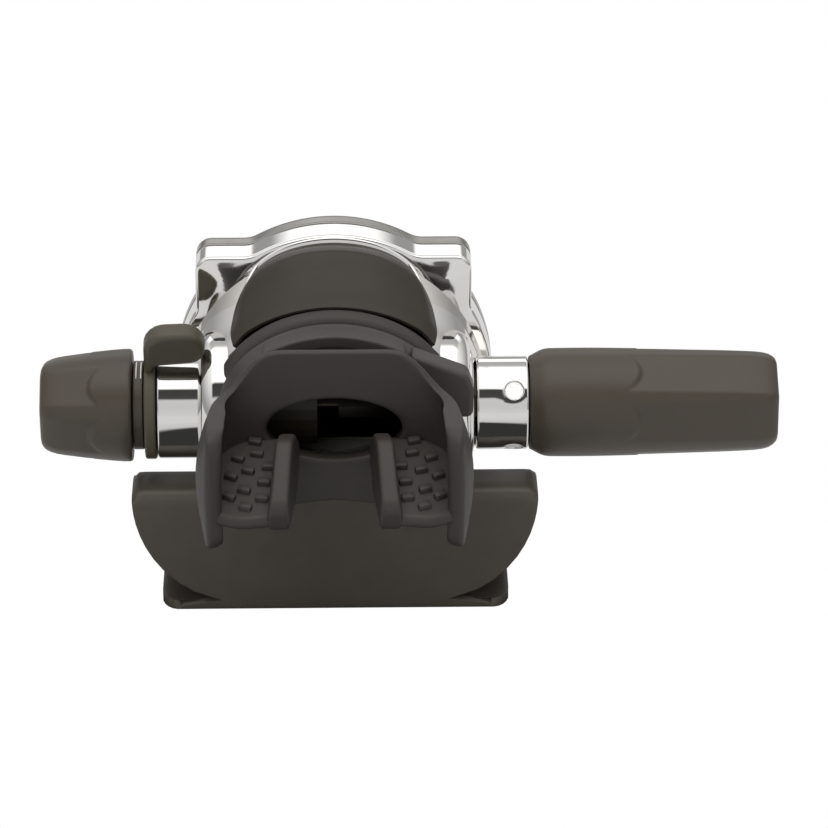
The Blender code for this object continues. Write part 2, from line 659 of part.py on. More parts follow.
# ---------------------------------------------------------------- exhaust
def make_exhaust():
    stem = [(0, -2.2), (0.9, -2.2), (1.7, -1.2), (1.1, -0.3), (1.1, 1.5)]
    on_exhaust("exhaust_valve", [*stem, (10.6, 1.5), (10.8, 2.0), (4, 2.3), (0, 2.4)], CLEAR_RUBBER)
    bottom = -AXIS_HEIGHT
    near_edge = [(TEE_NEAR, TEE_TOP, 2.2), (TEE_NEAR, bottom, 1.4)]
    side = rounded([*near_edge, (TEE_FAR, bottom, 1.4), (17.4, -42.0, 8.0), (-1.2, TEE_TOP, 2.4)])
    tee = prism("exhaust_tee", side, -TEE_HALF_WIDTH, TEE_HALF_WIDTH, BLACK_PLASTIC, "X")
    half = [
        (TEE_HALF_WIDTH, TEE_TOP + 0.3, 2.0), (TEE_HALF_WIDTH - 0.3, -22, 12.0), (40.6, -42.0, 5.0), (40.6, bottom - 2, 0)
    ]
    face = rounded(half + [(-x, z, radius) for x, z, radius in reversed(half)], segments=4)
    combine(tee, prism("tee_face", face, -20, 30, None), "INTERSECT")
    half = [(40.8, -15.1, 7.5), (40.8, -2, 0), (48.5, -2, 0), (48.5, 30, 0)]
    plan = rounded(half + [(-x, y, radius) for x, y, radius in reversed(half)])
    # The floor's near corners are round; above it a plain box keeps everything.
    floor_rim = prism("tee_rim", plan, bottom - 3, bottom + TEE_FLOOR - 0.1, None, "Z")
    upper = box("tee_upper", (-60, -31, bottom + TEE_FLOOR - 0.4), (60, 31, 0))
    join(floor_rim, upper)
    combine(tee, floor_rim, "INTERSECT")
    wall_y, floor, ceiling = TEE_NEAR + TEE_WALL, bottom + TEE_FLOOR, TEE_TOP - TEE_WALL
    inner = rounded([(wall_y, floor, 1.0), (TEE_FAR - 3.0, floor, 1.0), (-2.4, ceiling, 1.5), (wall_y, ceiling, 1.2)])
    cut(tee, prism("tee_duct", inner, -60, 60, None, "X"))
    for sign in (-1, 1):
        bowl = [(sign * 60, TEE_TOP - 1.5)]
        for step in range(9):
            angle = math.pi / 2 * step / 8
            across = 22 + (TEE_HALF_WIDTH - 22) * math.cos(angle)
            bowl.append((sign * across, TEE_TOP - 1.5 - 27.0 * math.sin(angle)))
        bowl += [(sign * 22, floor - 0.7), (sign * 60, floor - 0.7)]
        cut(tee, prism(f"bowl_corner_{sign}", bowl, -20, wall_y + 1.0, None))
    clear = 0.4
    back = (BODY[-1][0] - clear, *BODY[-1][1:])
    envelope = loft("body_envelope", [oval(section, clear) for section in [*BODY, back]], None)
    start, reach = FLANGE_BACK - clear, COVER_RADIUS + clear
    rim = turned("rim_envelope", [(0, start), (reach, start), (reach, 32), (0, 32)], None, "Y", steps=48)
    reach = EXHAUST_RADIUS + clear
    stub = on_exhaust("stub_envelope", [(0, -6), (reach, -6), (reach, 3.4), (0, 3.4)])
    cut(tee, envelope, rim, stub)
    return tee


# ---------------------------------------------------------------- mouthpiece
def shield_plan(share):
    """The gum shield seen from above: a U that opens towards the diver. share runs -1 to 1."""
    flat, bend, arm = 13.5, 17.3, 9.6
    length = flat + bend * math.pi / 2 + arm
    travel = abs(share) * length
    sign = 1 if share >= 0 else -1
    if travel < flat:
        return sign * travel, SHIELD_PLANE
    if travel < flat + bend * math.pi / 2:
        angle = (travel - flat) / bend
        return sign * (flat + bend * math.sin(angle)), SHIELD_PLANE - bend * (1 - math.cos(angle))
    rest = travel - flat - bend * math.pi / 2
    return sign * (flat + bend - 0.2 * rest), SHIELD_PLANE - bend - rest


def shield_edges(share):
    """Lower and upper edge heights of the gum shield."""
    ease = min(1, max(0, (abs(share) - 0.29) / 0.33))
    ease = ease * ease * (3 - 2 * ease)
    upper = 27.9 - 9.4 * ease + 3.0 * max(0, abs(share) - 0.6)
    lower = -9.6 - 1.4 * math.sin(math.pi * min(1, abs(share) / 0.6))
    tip = max(0, (abs(share) - 0.9) / 0.1)
    drop = 2.6 * (1 - math.sqrt(max(0, 1 - tip * tip)))
    return lower + drop, upper - drop


def make_mouthpiece():
    mouthpiece = loft("mouthpiece", [oval(section) for section in BOOT], SOFT_BLACK)
    columns, rows = 25, 6
    shape = bmesh.new()
    grid = []
    for i in range(columns):
        share = -1 + 2 * i / (columns - 1)
        x, y = shield_plan(share)
        lower, upper = shield_edges(share)
        line = []
        for j in range(rows):
            z = lower + (upper - lower) * j / (rows - 1)
            curl = 1.6 * max(0, 1 - j / 1.2) ** 2
            # The side lobes bulge: their upper and lower edges lean in over the middle.
            lean = 3.2 * math.sin(math.pi * max(0, (abs(share) - 0.28) / 0.86)) * ((z - 1) / 19) ** 2
            line.append(shape.verts.new((x - math.copysign(lean, x), y - curl, z)))
        grid.append(line)
    for near, far in zip(grid, grid[1:]):
        for j in range(rows - 1):
            shape.faces.new((near[j], near[j + 1], far[j + 1], far[j]))
    shield = keep("shield", mesh_of(shape), None)
    wall = shield.modifiers.new("wall", "SOLIDIFY")
    wall.thickness = SHIELD_WALL * MM
    wall.offset = 0
    join(mouthpiece, shield)
    for side, sign in (("left", -1), ("right", 1)):
        rim = [(21.0, -1.2, 0), (25.0, -4, 0), (28.5, -9, 0), (30.2, -17, 0), (28.9, -25.5, 3)]
        plate = rounded([(9.6, 0, 0), *rim, (20, -28.4, 6), (9.6, -27, 2.5)])
        bite = prism(
            f"bite_{side}",
            [(sign * x, y) for x, y in plate],
            -2.6,
            0.4,
            None,
            "Z",
            at=(0, -32.0, 6.4),
            turn=(BITE_SLOPE, 0, 0),
            soften=0.9,
        )
        over = [(-33.5, 6.5, 1), (-40, 10, 3), (-46, 11.3, 3), (-59.6, 0.4, 2.5)]
        profile = rounded([*over, (-58.4, -5.0, 1.5), (-40, -5.6, 2.5), (-33.5, 1, 1)])
        # The lugs splay outwards towards the diver.
        splay = (0, 0, sign * math.radians(6))
        lug = prism(f"lug_{side}", profile, sign * 4.4, sign * 8.3, None, "X", turn=splay, soften=1.4, segments=2)
        join(mouthpiece, bite, lug)
    inside = loft("boot_inside", [oval(section) for section in BOOT_INSIDE], None)
    cut(mouthpiece, inside)
    make_clamp()
    return mouthpiece


def make_clamp():
    """The strap round the boot, with its plate on top and its buckle at the right."""
    levels = ((-11.6, 0.5), (-11.6, 1.4), (-12.1, 1.7), (-17.9, 1.7), (-18.4, 1.4), (-18.4, 0.5))
    rings = [oval(between(BOOT, y), grow) for y, grow in levels]
    clamp = loft("mouthpiece_clamp", rings, SOFT_BLACK, ring_shaped=True)
    plate = prism(
        "plate",
        rounded([(-16.6, 21.6, 1.0), (-15.6, 25.2, 1.6), (15.6, 25.2, 1.6), (16.6, 21.6, 1.0)]),
        -18.6,
        -11.4,
        None,
        soften=0.6,
    )
    buckle = prism(
        "buckle",
        rounded([(12.0, 23.6, 0), (30.6, 15.9, 2.0), (32.0, 12.0, 2.0), (31.8, 5.4, 1.6), (20.0, 5.0, 0)]),
        -20.8,
        -14.2,
        None,
        soften=0.8,
    )
    join(clamp, plate, buckle)
    clear = loft("boot_envelope", [oval(section, GAP) for section in BOOT], None)
    cut(clamp, clear)


make_housing()
make_front_cover()
make_badge_cover()
make_purge()
make_barrel()
make_lever()
make_inlet_side()
make_knob_side()
make_exhaust()
make_mouthpiece()
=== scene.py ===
"""Looks of a scuba regulator's second stage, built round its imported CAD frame.

+X is the hose side, +Y the purge cover, -Y the diver, +Z up. Shapes are written in
millimetres from the valve's axis, which lies 46.6 mm above the floor.
"""

import json
import math

import bmesh
import bpy
from mathutils import Matrix, Vector


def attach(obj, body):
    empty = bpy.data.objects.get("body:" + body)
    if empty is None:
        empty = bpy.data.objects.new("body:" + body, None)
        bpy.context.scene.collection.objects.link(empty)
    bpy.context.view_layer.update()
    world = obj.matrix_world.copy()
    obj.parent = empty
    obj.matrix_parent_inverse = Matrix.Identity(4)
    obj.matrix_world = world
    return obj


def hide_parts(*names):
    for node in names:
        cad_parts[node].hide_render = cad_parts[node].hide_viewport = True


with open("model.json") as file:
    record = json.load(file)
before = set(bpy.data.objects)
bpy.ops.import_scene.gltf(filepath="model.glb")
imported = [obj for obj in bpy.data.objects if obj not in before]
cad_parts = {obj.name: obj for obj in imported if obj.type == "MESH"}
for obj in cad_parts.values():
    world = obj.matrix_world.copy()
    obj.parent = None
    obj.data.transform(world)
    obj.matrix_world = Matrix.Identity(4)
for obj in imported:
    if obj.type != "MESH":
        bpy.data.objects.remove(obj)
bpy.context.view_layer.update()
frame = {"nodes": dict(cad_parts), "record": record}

# ---------------------------------------------------------------- studio
# A pale sweep with soft light from above and the front, as for a catalogue picture. Chrome
# mirrors the room: a white ceiling panel, a dark gap in front of it and a grey front wall.
AXIS_HEIGHT = 46.6
view = bpy.context.scene.view_settings
view.view_transform = "Standard"

# Both in pixels of the photograph, which is 828 pixels wide.
HALF_PICTURE = 414
FOCAL_LENGTH = 4700
target = Vector((0.0186, 0.0, 0.0438))
elevation = math.radians(24.0)
distance = 1.1
camera = bpy.data.objects.new("camera", bpy.data.cameras.new("camera"))
bpy.context.scene.collection.objects.link(camera)
camera.data.sensor_fit = "HORIZONTAL"
camera.data.angle = 2 * math.atan(HALF_PICTURE / FOCAL_LENGTH)
camera.data.clip_start = 0.05
turn = math.radians(-1.0)
level = math.cos(elevation)
outwards = Vector((math.sin(turn) * level, -math.cos(turn) * level, math.sin(elevation)))
camera.location = target + distance * outwards
camera.rotation_euler = (-outwards).to_track_quat("-Z", "Y").to_euler()
bpy.context.scene.camera = camera


def linear(code):
    """A colour written as sRGB hex, as the linear values that shaders take."""
    parts = [int(code[i : i + 2], 16) / 255 for i in (1, 3, 5)]
    return (*[c / 12.92 if c <= 0.04045 else ((c + 0.055) / 1.055) ** 2.4 for c in parts], 1.0)


def add_node(tree, kind, values=(), links=()):
    """Adds a node. values sets its properties and inputs, links joins inputs to (node, output)."""
    made = tree.nodes.new(kind)
    for key, value in dict(values).items():
        if isinstance(key, int) or key in made.inputs:
            made.inputs[key].default_value = value
        else:
            setattr(made, key, value)
    for key, (source, output) in dict(links).items():
        tree.links.new(source.outputs[output], made.inputs[key])
    return made


def set_stops(ramp, stops):
    """Gives a colour ramp its stops, each a place and a grey level."""
    while len(ramp.color_ramp.elements) > 1:
        ramp.color_ramp.elements.remove(ramp.color_ramp.elements[-1])
    for i, (place, level) in enumerate(stops):
        element = ramp.color_ramp.elements[0] if i == 0 else ramp.color_ramp.elements.new(place)
        element.position = place
        element.color = (level, level, level, 1)


world = bpy.data.worlds.new("room")
bpy.context.scene.world = world
world.use_nodes = True
room = world.node_tree
room.nodes.clear()
looking = add_node(room, "ShaderNodeTexCoord")
parts = add_node(room, "ShaderNodeSeparateXYZ", links={0: (looking, "Generated")})
towards = add_node(room, "ShaderNodeMath", {"operation": "MULTIPLY", 1: -1.0}, {0: (parts, "Y")})
rise = add_node(room, "ShaderNodeMath", {"operation": "ARCTAN2"}, {0: (parts, "Z"), 1: (towards, 0)})
share = add_node(room, "ShaderNodeMath", {"operation": "DIVIDE", 1: math.pi}, {0: (rise, 0)})
# Stops run from the front horizon (0) over the ceiling (0.5) to the back horizon (1).
mirrored = add_node(room, "ShaderNodeValToRGB", links={0: (share, 0)})
set_stops(
    mirrored,
    [
        (0.0, 0.66), (0.10, 0.60), (0.18, 0.62), (0.205, 0.06), (0.31, 0.05), (0.33, 1.3), (0.66, 1.3),
        (0.70, 0.5), (0.79, 0.4), (0.82, 1.25), (0.895, 1.2), (0.915, 0.33), (1.0, 0.3),
    ],
)
aside = add_node(room, "ShaderNodeMath", {"operation": "ABSOLUTE"}, {0: (parts, "X")})
sideways = add_node(room, "ShaderNodeMapRange", {"From Min": 0.36, "From Max": 0.5}, {"Value": (aside, 0)})
wall_range = {"From Min": 0.15, "From Max": 0.8, "To Min": 0.32, "To Max": 0.9}
walls = add_node(room, "ShaderNodeMapRange", wall_range, {"Value": (parts, "Z")})
around_us = add_node(
    room, "ShaderNodeMix", {"data_type": "FLOAT"}, {0: (sideways, 0), 2: (mirrored, 0), 3: (walls, 0)}
)
path = add_node(room, "ShaderNodeLightPath")
glossy = add_node(room, "ShaderNodeBackground", links={"Color": (around_us, 0)})
diffuse = add_node(room, "ShaderNodeBackground", {"Color": (0.5, 0.5, 0.5, 1)})
white = add_node(room, "ShaderNodeBackground", {"Color": (1, 1, 1, 1)})
lit_links = {0: (path, "Is Glossy Ray"), 1: (diffuse, 0), 2: (glossy, 0)}
lit = add_node(room, "ShaderNodeMixShader", links=lit_links)
seen = add_node(room, "ShaderNodeMixShader", links={0: (path, "Is Camera Ray"), 1: (lit, 0), 2: (white, 0)})
add_node(room, "ShaderNodeOutputWorld", links={"Surface": (seen, 0)})


def soft_light(name, place, aim, size, power):
    """A square soft light. Its own glare is left to the room's panels."""
    lamp = bpy.data.lights.new(name, "AREA")
    lamp.shape = "RECTANGLE"
    lamp.size, lamp.size_y = size
    lamp.energy = power
    holder = bpy.data.objects.new(name, lamp)
    bpy.context.scene.collection.objects.link(holder)
    holder.location = place
    holder.rotation_euler = (Vector(aim) - Vector(place)).to_track_quat("-Z", "Y").to_euler()
    holder.visible_glossy = False
    return holder


soft_light("ceiling_panel", (0.0, -0.15, 1.0), (0.0, 0.0, 0.04), (0.9, 0.7), 7.0)
soft_light("front_fill", (-0.35, -1.2, 0.55), (0.0, 0.0, 0.03), (0.6, 0.6), 3.5)

floor_shape = bmesh.new()
bmesh.ops.create_grid(floor_shape, x_segments=1, y_segments=1, size=3.0)
floor_mesh = bpy.data.meshes.new("floor")
floor_shape.to_mesh(floor_mesh)
floor_shape.free()
floor = bpy.data.objects.new("floor", floor_mesh)
bpy.context.scene.collection.objects.link(floor)
paper = bpy.data.materials.new("pale_paper")
paper.use_nodes = True
paper.node_tree.nodes.clear()
tree = paper.node_tree
matt = add_node(tree, "ShaderNodeBsdfDiffuse", {"Color": (0.9, 0.9, 0.9, 1)})
where = add_node(tree, "ShaderNodeNewGeometry")
depth = add_node(tree, "ShaderNodeSeparateXYZ", links={0: (where, "Position")})
# What metal sees of the paper: a dark patch of painted shade close in front of the object, in place of its
# shadow, and bright paper further out.
# The camera itself sees plain white, without the shadow.
wide = add_node(tree, "ShaderNodeMath", {"operation": "DIVIDE", 1: 0.056}, {0: (depth, "X")})
front = add_node(tree, "ShaderNodeMath", {"operation": "ADD", 1: 0.045}, {0: (depth, "Y")})
long = add_node(tree, "ShaderNodeMath", {"operation": "DIVIDE", 1: 0.085}, {0: (front, 0)})
both_ways = add_node(tree, "ShaderNodeCombineXYZ", links={0: (wide, 0), 1: (long, 0)})
reach = add_node(tree, "ShaderNodeVectorMath", {"operation": "LENGTH"}, {0: (both_ways, 0)})
spread = add_node(tree, "ShaderNodeMath", {"operation": "MULTIPLY", 1: 0.5}, {0: (reach, "Value")})
painted_shade_ramp = add_node(tree, "ShaderNodeValToRGB", links={0: (spread, 0)})
set_stops(painted_shade_ramp, [(0.0, 0.035), (0.47, 0.035), (0.55, 0.62), (1.0, 0.7)])
glow = add_node(tree, "ShaderNodeEmission", links={"Color": (painted_shade_ramp, 0)})
path = add_node(tree, "ShaderNodeLightPath")
both = add_node(tree, "ShaderNodeMixShader", links={0: (path, "Is Glossy Ray"), 1: (matt, 0), 2: (glow, 0)})
blank = add_node(tree, "ShaderNodeEmission", {"Color": (1, 1, 1, 1)})
cut_links = {0: (path, "Is Camera Ray"), 1: (both, 0), 2: (blank, 0)}
cut_out = add_node(tree, "ShaderNodeMixShader", links=cut_links)
add_node(tree, "ShaderNodeOutputMaterial", links={"Surface": (cut_out, 0)})
floor_mesh.materials.append(paper)

# ---------------------------------------------------------------- bowl
# The valve body: a brass casting with a flange for the cover, two ears and a boss for the
# knob side, turned and polished, then chrome plated all over.
BOWL = [
    (12.6, 35.8, 33.6, -35.8, 0),
    (8.0, 35.0, 31.8, -32.5, 0),
    (4.0, 34.0, 29.9, -29.2, 0),
    (0.0, 32.5, 28.0, -25.4, 0.3),
    (-3.0, 31.2, 26.6, -20.6, 2.0),
    (-6.0, 29.0, 25.1, -15.6, 4.8),
]
PORT = [
    (-6.0, 24.2, 24.2, -12.4, 4.9),
    (-14.0, 21.4, 20.8, -10.0, 2.6),
    (-19.0, 18.9, 18.4, -6.8, 0),
]


def around(section, angle, grow=0.0):
    """A point of an upright oval section (y, half width, top, bottom, set-back of its sides)."""
    y, half_width, top, bottom, set_back = section
    height = (top + bottom) / 2 + ((top - bottom) / 2 + grow) * math.sin(angle)
    place = y - set_back * (1 - max(0, math.sin(angle)))
    return Vector(((half_width + grow) * math.cos(angle), place, height))


def through_four(a, b, c, d, t):
    """The value at t between b and c, on a smooth curve through four values."""
    bend = (2 * a - 5 * b + 4 * c - d) * t**2 + (3 * b - a - 3 * c + d) * t**3
    return 0.5 * (2 * b + (c - a) * t + bend)


def flowing(sections, steps):
    """The sections with smooth ones in between, by a spline through all of them."""
    result = []
    for i in range(len(sections) - 1):
        before, here = sections[max(i - 1, 0)], sections[i]
        there, after = sections[i + 1], sections[min(i + 2, len(sections) - 1)]
        for step in range(steps):
            t = step / steps
            result.append(
                tuple(
                    through_four(a, b, c, d, t)
                    for a, b, c, d in zip(before, here, there, after)
                )
            )
    return result + [tuple(sections[-1])]


RING_POINTS = 144


def oval(section, grow=0.0, count=RING_POINTS):
    return [around(section, 2 * math.pi * i / count, grow) for i in range(count)]


def ring_by_ring(shape, rings):
    """Extrudes a circle from ring to ring of points, and gives its first and last vertices."""
    ring = bmesh.ops.create_circle(shape, segments=len(rings[0]), radius=1)["verts"]
    for vertex, point in zip(ring, rings[0]):
        vertex.co = point
    first = ring
    for points in rings[1:]:
        edges = [shape.edges.get((a, b)) for a, b in zip(ring, ring[1:] + ring[:1])]
        made = bmesh.ops.extrude_edge_only(shape, edges=edges)["geom"]
        fresh = {item for item in made if isinstance(item, bmesh.types.BMVert)}
        ring = [next(e.other_vert(v) for e in v.link_edges if e.other_vert(v) in fresh) for v in ring]
        for vertex, point in zip(ring, points):
            vertex.co = point
    return first, ring


def sleeve_through(shape, rings, closed=False):
    """A skin through rings of points; closed joins the last ring to the first, or both are capped."""
    ends = ring_by_ring(shape, rings + ([rings[0]] if closed else []))
    if closed:
        bmesh.ops.remove_doubles(shape, verts=shape.verts, dist=0.0001)
    else:
        for rim in ends:
            bmesh.ops.contextual_create(shape, geom=rim)


def turned(shape, profile, steps=128, axis=(1, 0, 0)):
    """Spins a closed profile of (distance from the axis, place along it) about an axis."""
    axis = Vector(axis)
    side = Vector((0, 0, 1)) if axis.z == 0 else Vector((1, 0, 0))
    points = [shape.verts.new(axis * along + side * radius) for radius, along in profile]
    edges = [shape.edges.new(pair) for pair in zip(points, points[1:])]
    if profile[0][0] > 0:
        edges.append(shape.edges.new((points[-1], points[0])))
    whole = {"cent": (0, 0, 0), "axis": axis, "angle": 2 * math.pi, "steps": steps, "use_merge": True}
    bmesh.ops.spin(shape, geom=points + edges, **whole)
    bmesh.ops.remove_doubles(shape, verts=shape.verts, dist=0.0005)


def softened(corners, steps=5):
    """A closed outline of (u, v, radius) corners, each turned by an arc."""
    outline = []
    for i, (u, v, radius) in enumerate(corners):
        here = Vector((u, v))
        back = (Vector(corners[i - 1][:2]) - here).normalized()
        ahead = (Vector(corners[(i + 1) % len(corners)][:2]) - here).normalized()
        if radius == 0:
            outline.append((u, v))
            continue
        half = math.acos(max(-1, min(1, back.dot(ahead)))) / 2
        centre = here + (back + ahead).normalized() * (radius / math.sin(half))
        first = here + back * (radius / math.tan(half)) - centre
        last = here + ahead * (radius / math.tan(half)) - centre
        for step in range(steps + 1):
            arm = first.lerp(last, step / steps).normalized() * radius
            outline.append(tuple(centre + arm))
    return outline


def settle(name, shape, finish, body, stands_for=(), crease=40):
    """Turns a bmesh in millimetres into a finished piece that rides on a body."""
    bmesh.ops.recalc_face_normals(shape, faces=shape.faces)
    bmesh.ops.translate(shape, verts=shape.verts, vec=(0, 0, AXIS_HEIGHT))
    bmesh.ops.scale(shape, verts=shape.verts, vec=(0.001, 0.001, 0.001))
    mesh = bpy.data.meshes.new(name)
    shape.to_mesh(mesh)
    shape.free()
    mesh.materials.append(finish)
    mesh.shade_smooth()
    mesh.set_sharp_from_angle(angle=math.radians(crease))
    piece = bpy.data.objects.new(name, mesh)
    bpy.context.scene.collection.objects.link(piece)
    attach(piece, body)
    if stands_for:
        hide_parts(*stands_for)
    return piece


def soft_edge(piece, width, segments, limit=30):
    """Rounds the edges of a piece that are sharper than limit degrees. width is in metres."""
    edge = piece.modifiers.new("soft edge", "BEVEL")
    edge.width = width
    edge.segments = segments
    edge.limit_method = "ANGLE"
    edge.angle_limit = math.radians(limit)


def flange_outline(count=240):
    """The round flange with its two upper ears, as evenly spaced (x, z) from the lowest point."""
    radius, side, top, corner, fillet = 37.4, 32.3, 32.0, 3.5, 6.0
    meet = math.acos(side / radius)
    angles = [-math.pi / 2 + (meet + math.pi / 2) * i / 60 for i in range(61)]
    right = [(radius * math.cos(a), radius * math.sin(a)) for a in angles]
    for i in range(13):
        a = math.pi / 2 * i / 12
        right.append((side - corner + corner * math.cos(a), top - corner + corner * math.sin(a)))
    arc_z = top + fillet
    arc_x = math.sqrt((radius + fillet) ** 2 - arc_z**2)
    first = math.atan2(arc_z, arc_x)
    for i in range(13):
        a = -math.pi / 2 + (first - math.pi / 2) * i / 12
        right.append((arc_x + fillet * math.cos(a), arc_z + fillet * math.sin(a)))
    for i in range(1, 21):
        a = first + (math.pi / 2 - first) * i / 20
        right.append((radius * math.cos(a), radius * math.sin(a)))
    line = right + [(-x, z) for x, z in right[-2::-1]]
    return spaced(line, count)


def spaced(line, count):
    """Points at even distances along an open line whose ends meet."""
    lengths = [0.0]
    for a, b in zip(line, line[1:]):
        lengths.append(lengths[-1] + (Vector(b) - Vector(a)).length)
    result = []
    k = 0
    for i in range(count):
        wanted = lengths[-1] * i / count
        while lengths[k + 1] < wanted:
            k += 1
        t = (wanted - lengths[k]) / max(1e-9, lengths[k + 1] - lengths[k])
        result.append(Vector(line[k]).lerp(Vector(line[k + 1]), t))
    return result


def circle_by(outline, radius, y):
    """A circle at y with a point facing each point of an outline, so that the two can be joined."""
    return [Vector((p.x, 0, p.y)).normalized() * radius + Vector((0, y, 0)) for p in outline]


def drawn_in(outline, inset):
    """An outline moved inwards along its own normals."""
    moved = []
    for before, here, after in zip(outline[-1:] + outline[:-1], outline, outline[1:] + outline[:1]):
        run = (after - before).normalized()
        moved.append(here + Vector((-run.y, run.x)) * inset)
    return moved


def plated(name, code="#f3f1ee", haze_low=0.035, haze_high=0.09):
    """Chrome plate on polished brass: a mirror, a touch warm, with the faintest buffing haze."""
    made = bpy.data.materials.new(name)
    made.use_nodes = True
    tree = made.node_tree
    shader = tree.nodes["Principled BSDF"]
    shader.inputs["Base Color"].default_value = linear(code)
    shader.inputs["Metallic"].default_value = 1.0
    place = add_node(tree, "ShaderNodeTexCoord")
    haze_size = {"Scale": 160.0, "Detail": 4.0}
    haze = add_node(tree, "ShaderNodeTexNoise", haze_size, {"Vector": (place, "Object")})
    spread = {"From Min": 0.35, "From Max": 0.7, "To Min": haze_low, "To Max": haze_high}
    rough = add_node(tree, "ShaderNodeMapRange", spread, {"Value": (haze, 0)})
    tree.links.new(rough.outputs[0], shader.inputs["Roughness"])
    return made


chrome = plated("chrome_plate")
bowl = bmesh.new()
outer = [oval(section) for section in flowing(BOWL, 6)]
neck = [oval(section) for section in flowing(PORT, 4)]
neck_inside = [oval(section, -2) for section in reversed(flowing(PORT, 4))]
inner_sections = BOWL[:-1] + [(-4.2, 30.2, 25.9, -18.6, 2.8)]
bowl_inside = [oval(section, -2) for section in reversed(flowing(inner_sections, 4))]
sleeve_through(bowl, outer + neck + neck_inside + bowl_inside, closed=True)
bowl_piece = settle("bowl", bowl, chrome, "case", ("housing",))
# Inside, the casting is coloured a dull dark metal, darker than bare brass: painted shade, so that the port
# reads black.
dull_shaded_inside = plated("casting_painted_shade_inside", "#1d1b19", 0.45, 0.6)
bowl_piece.data.materials.append(dull_shaded_inside)
first_inside = RING_POINTS * (len(outer) + len(neck) - 1)
for face in bowl_piece.data.polygons:
    face.material_index = 1 if face.index >= first_inside else 0

flange = bmesh.new()
rim = flange_outline()
levels = [
    (12.0, 0.9), (12.07, 0.55), (12.25, 0.25), (12.55, 0.07), (12.9, 0.0), (13.2, 0.0), (19.4, 0.0),
    (19.8, 0.0), (20.15, 0.12), (20.3, 0.45),
]
rings = [[Vector((p.x, y, p.y)) for p in drawn_in(rim, inset)] for y, inset in levels]
for radius, y in ((35.2, 20.3), (35.2, 17.2), (31.4, 17.2), (31.4, 12.0)):
    rings.append(circle_by(rim, radius, y))
sleeve_through(flange, rings, closed=True)
settle("flange", flange, chrome, "case", crease=50)

boss = bmesh.new()
turned(boss, softened([(12.5, -27.0, 0), (12.5, -41.1, 0.5), (9.7, -41.1, 0.4), (9.7, -27.0, 0)]))
settle("knob_boss", boss, chrome, "case")
pad = bmesh.new()
turned(pad, softened([(12.6, 27.0, 0), (12.6, 32.3, 0.8), (8.2, 32.3, 0), (8.2, 27.0, 0)]))
settle("hose_side_pad", pad, chrome, "case")
for side, sign in (("left", -1), ("right", 1)):
    cheek = bmesh.new()
    near, far = sign * 22, sign * 31.6
    turned(cheek, softened([(9.5, near, 0), (17.6, near, 0), (17.6, far, 4.4), (9.5, far, 0)], 12))
    settle(f"barrel_cheek_{side}", cheek, chrome, "case")

# ---------------------------------------------------------------- cover ring
# The ring that holds the purge button, with ears that match the flange's and a rolled front edge,
# fixed by two cap screws from the front. Slightly satin chrome, coloured greyer than the bowl's plate as
# painted shade.
cover = bmesh.new()
levels = [(20.6, 0.5), (20.75, 0.15), (21.1, 0.0), (21.4, 0.0), (23.9, 0.0), (24.2, 0.0)]
for i in range(1, 13):
    a = math.pi / 2 * i / 12
    levels.append((24.2 + 4.4 * math.sin(a), 6.4 * (1 - math.cos(a))))
rings = [[Vector((p.x, y, p.y)) for p in drawn_in(rim, inset)] for y, inset in levels]
for radius, y in ((25.5, 28.7), (25.1, 28.55), (24.9, 28.2), (24.9, 27.1), (26.8, 27.1), (26.8, 20.6)):
    rings.append(circle_by(rim, radius, y))
sleeve_through(cover, rings, closed=True)
# The grey colour is painted shade over the bowl's chrome; only the haze is the finish's own.
satin_shaded_chrome = plated("satin_chrome_painted_shade", "#9b9893", 0.2, 0.28)
settle("cover_ring", cover, satin_shaded_chrome, "case", ("front_cover",), crease=50)

# ---------------------------------------------------------------- badge cover
# A thin saddle over the top of the bowl, moulded in dark plastic with a satin face.
def moulded(name, code, roughness, grain, dapple=0.12, coat=0.0, shine=0.5):
    """Injection-moulded plastic or rubber: one colour, with a fine grain from the tool."""
    made = bpy.data.materials.new(name)
    made.use_nodes = True
    tree = made.node_tree
    shader = tree.nodes["Principled BSDF"]
    shader.inputs["Coat Weight"].default_value = coat
    shader.inputs["Specular IOR Level"].default_value = shine
    shader.inputs["Coat Roughness"].default_value = 0.2
    place = add_node(tree, "ShaderNodeTexCoord")
    # Cloudiness about 6 mm across, as in any dark moulding under soft light.
    cloud_size = {"Scale": 160.0, "Detail": 5.0, "Roughness": 0.6}
    cloud = add_node(tree, "ShaderNodeTexNoise", cloud_size, {"Vector": (place, "Object")})
    base = linear(code)
    low = tuple(c * (1 - dapple) for c in base[:3]) + (1,)
    high = tuple(c * (1 + dapple) for c in base[:3]) + (1,)
    tint = add_node(tree, "ShaderNodeMix", {"data_type": "RGBA", 6: low, 7: high}, {0: (cloud, 0)})
    tree.links.new(tint.outputs[2], shader.inputs["Base Color"])
    spread = {"To Min": roughness - 0.05, "To Max": roughness + 0.05}
    rough = add_node(tree, "ShaderNodeMapRange", spread, {"Value": (cloud, 0)})
    tree.links.new(rough.outputs[0], shader.inputs["Roughness"])
    # The grain is really about 0.1 mm; it is drawn as coarse as it needs to show.
    speck_size = {"Scale": 2600.0, "Detail": 2.0}
    specks = add_node(tree, "ShaderNodeTexNoise", speck_size, {"Vector": (place, "Object")})
    bump = add_node(tree, "ShaderNodeBump", {"Strength": grain, "Distance": 0.0001}, {"Height": (specks, 0)})
    tree.links.new(bump.outputs[0], shader.inputs["Normal"])
    return made


def between(sections, y):
    """The section at a place between the given ones."""
    for far, near in zip(sections, sections[1:]):
        if near[0] <= y <= far[0]:
            t = (far[0] - y) / (far[0] - near[0])
            return tuple(a + (b - a) * t for a, b in zip(far, near))
    return sections[0] if y > sections[0][0] else sections[-1]


def eased(t):
    t = min(1.0, max(0.0, t))
    return t * t * (3 - 2 * t)


def badge_reach(part):
    """Half the badge's sweep round the bowl, from its top edge (0) to the mouthpiece (1)."""
    return math.radians(28.6 + 22.8 * part**0.8)


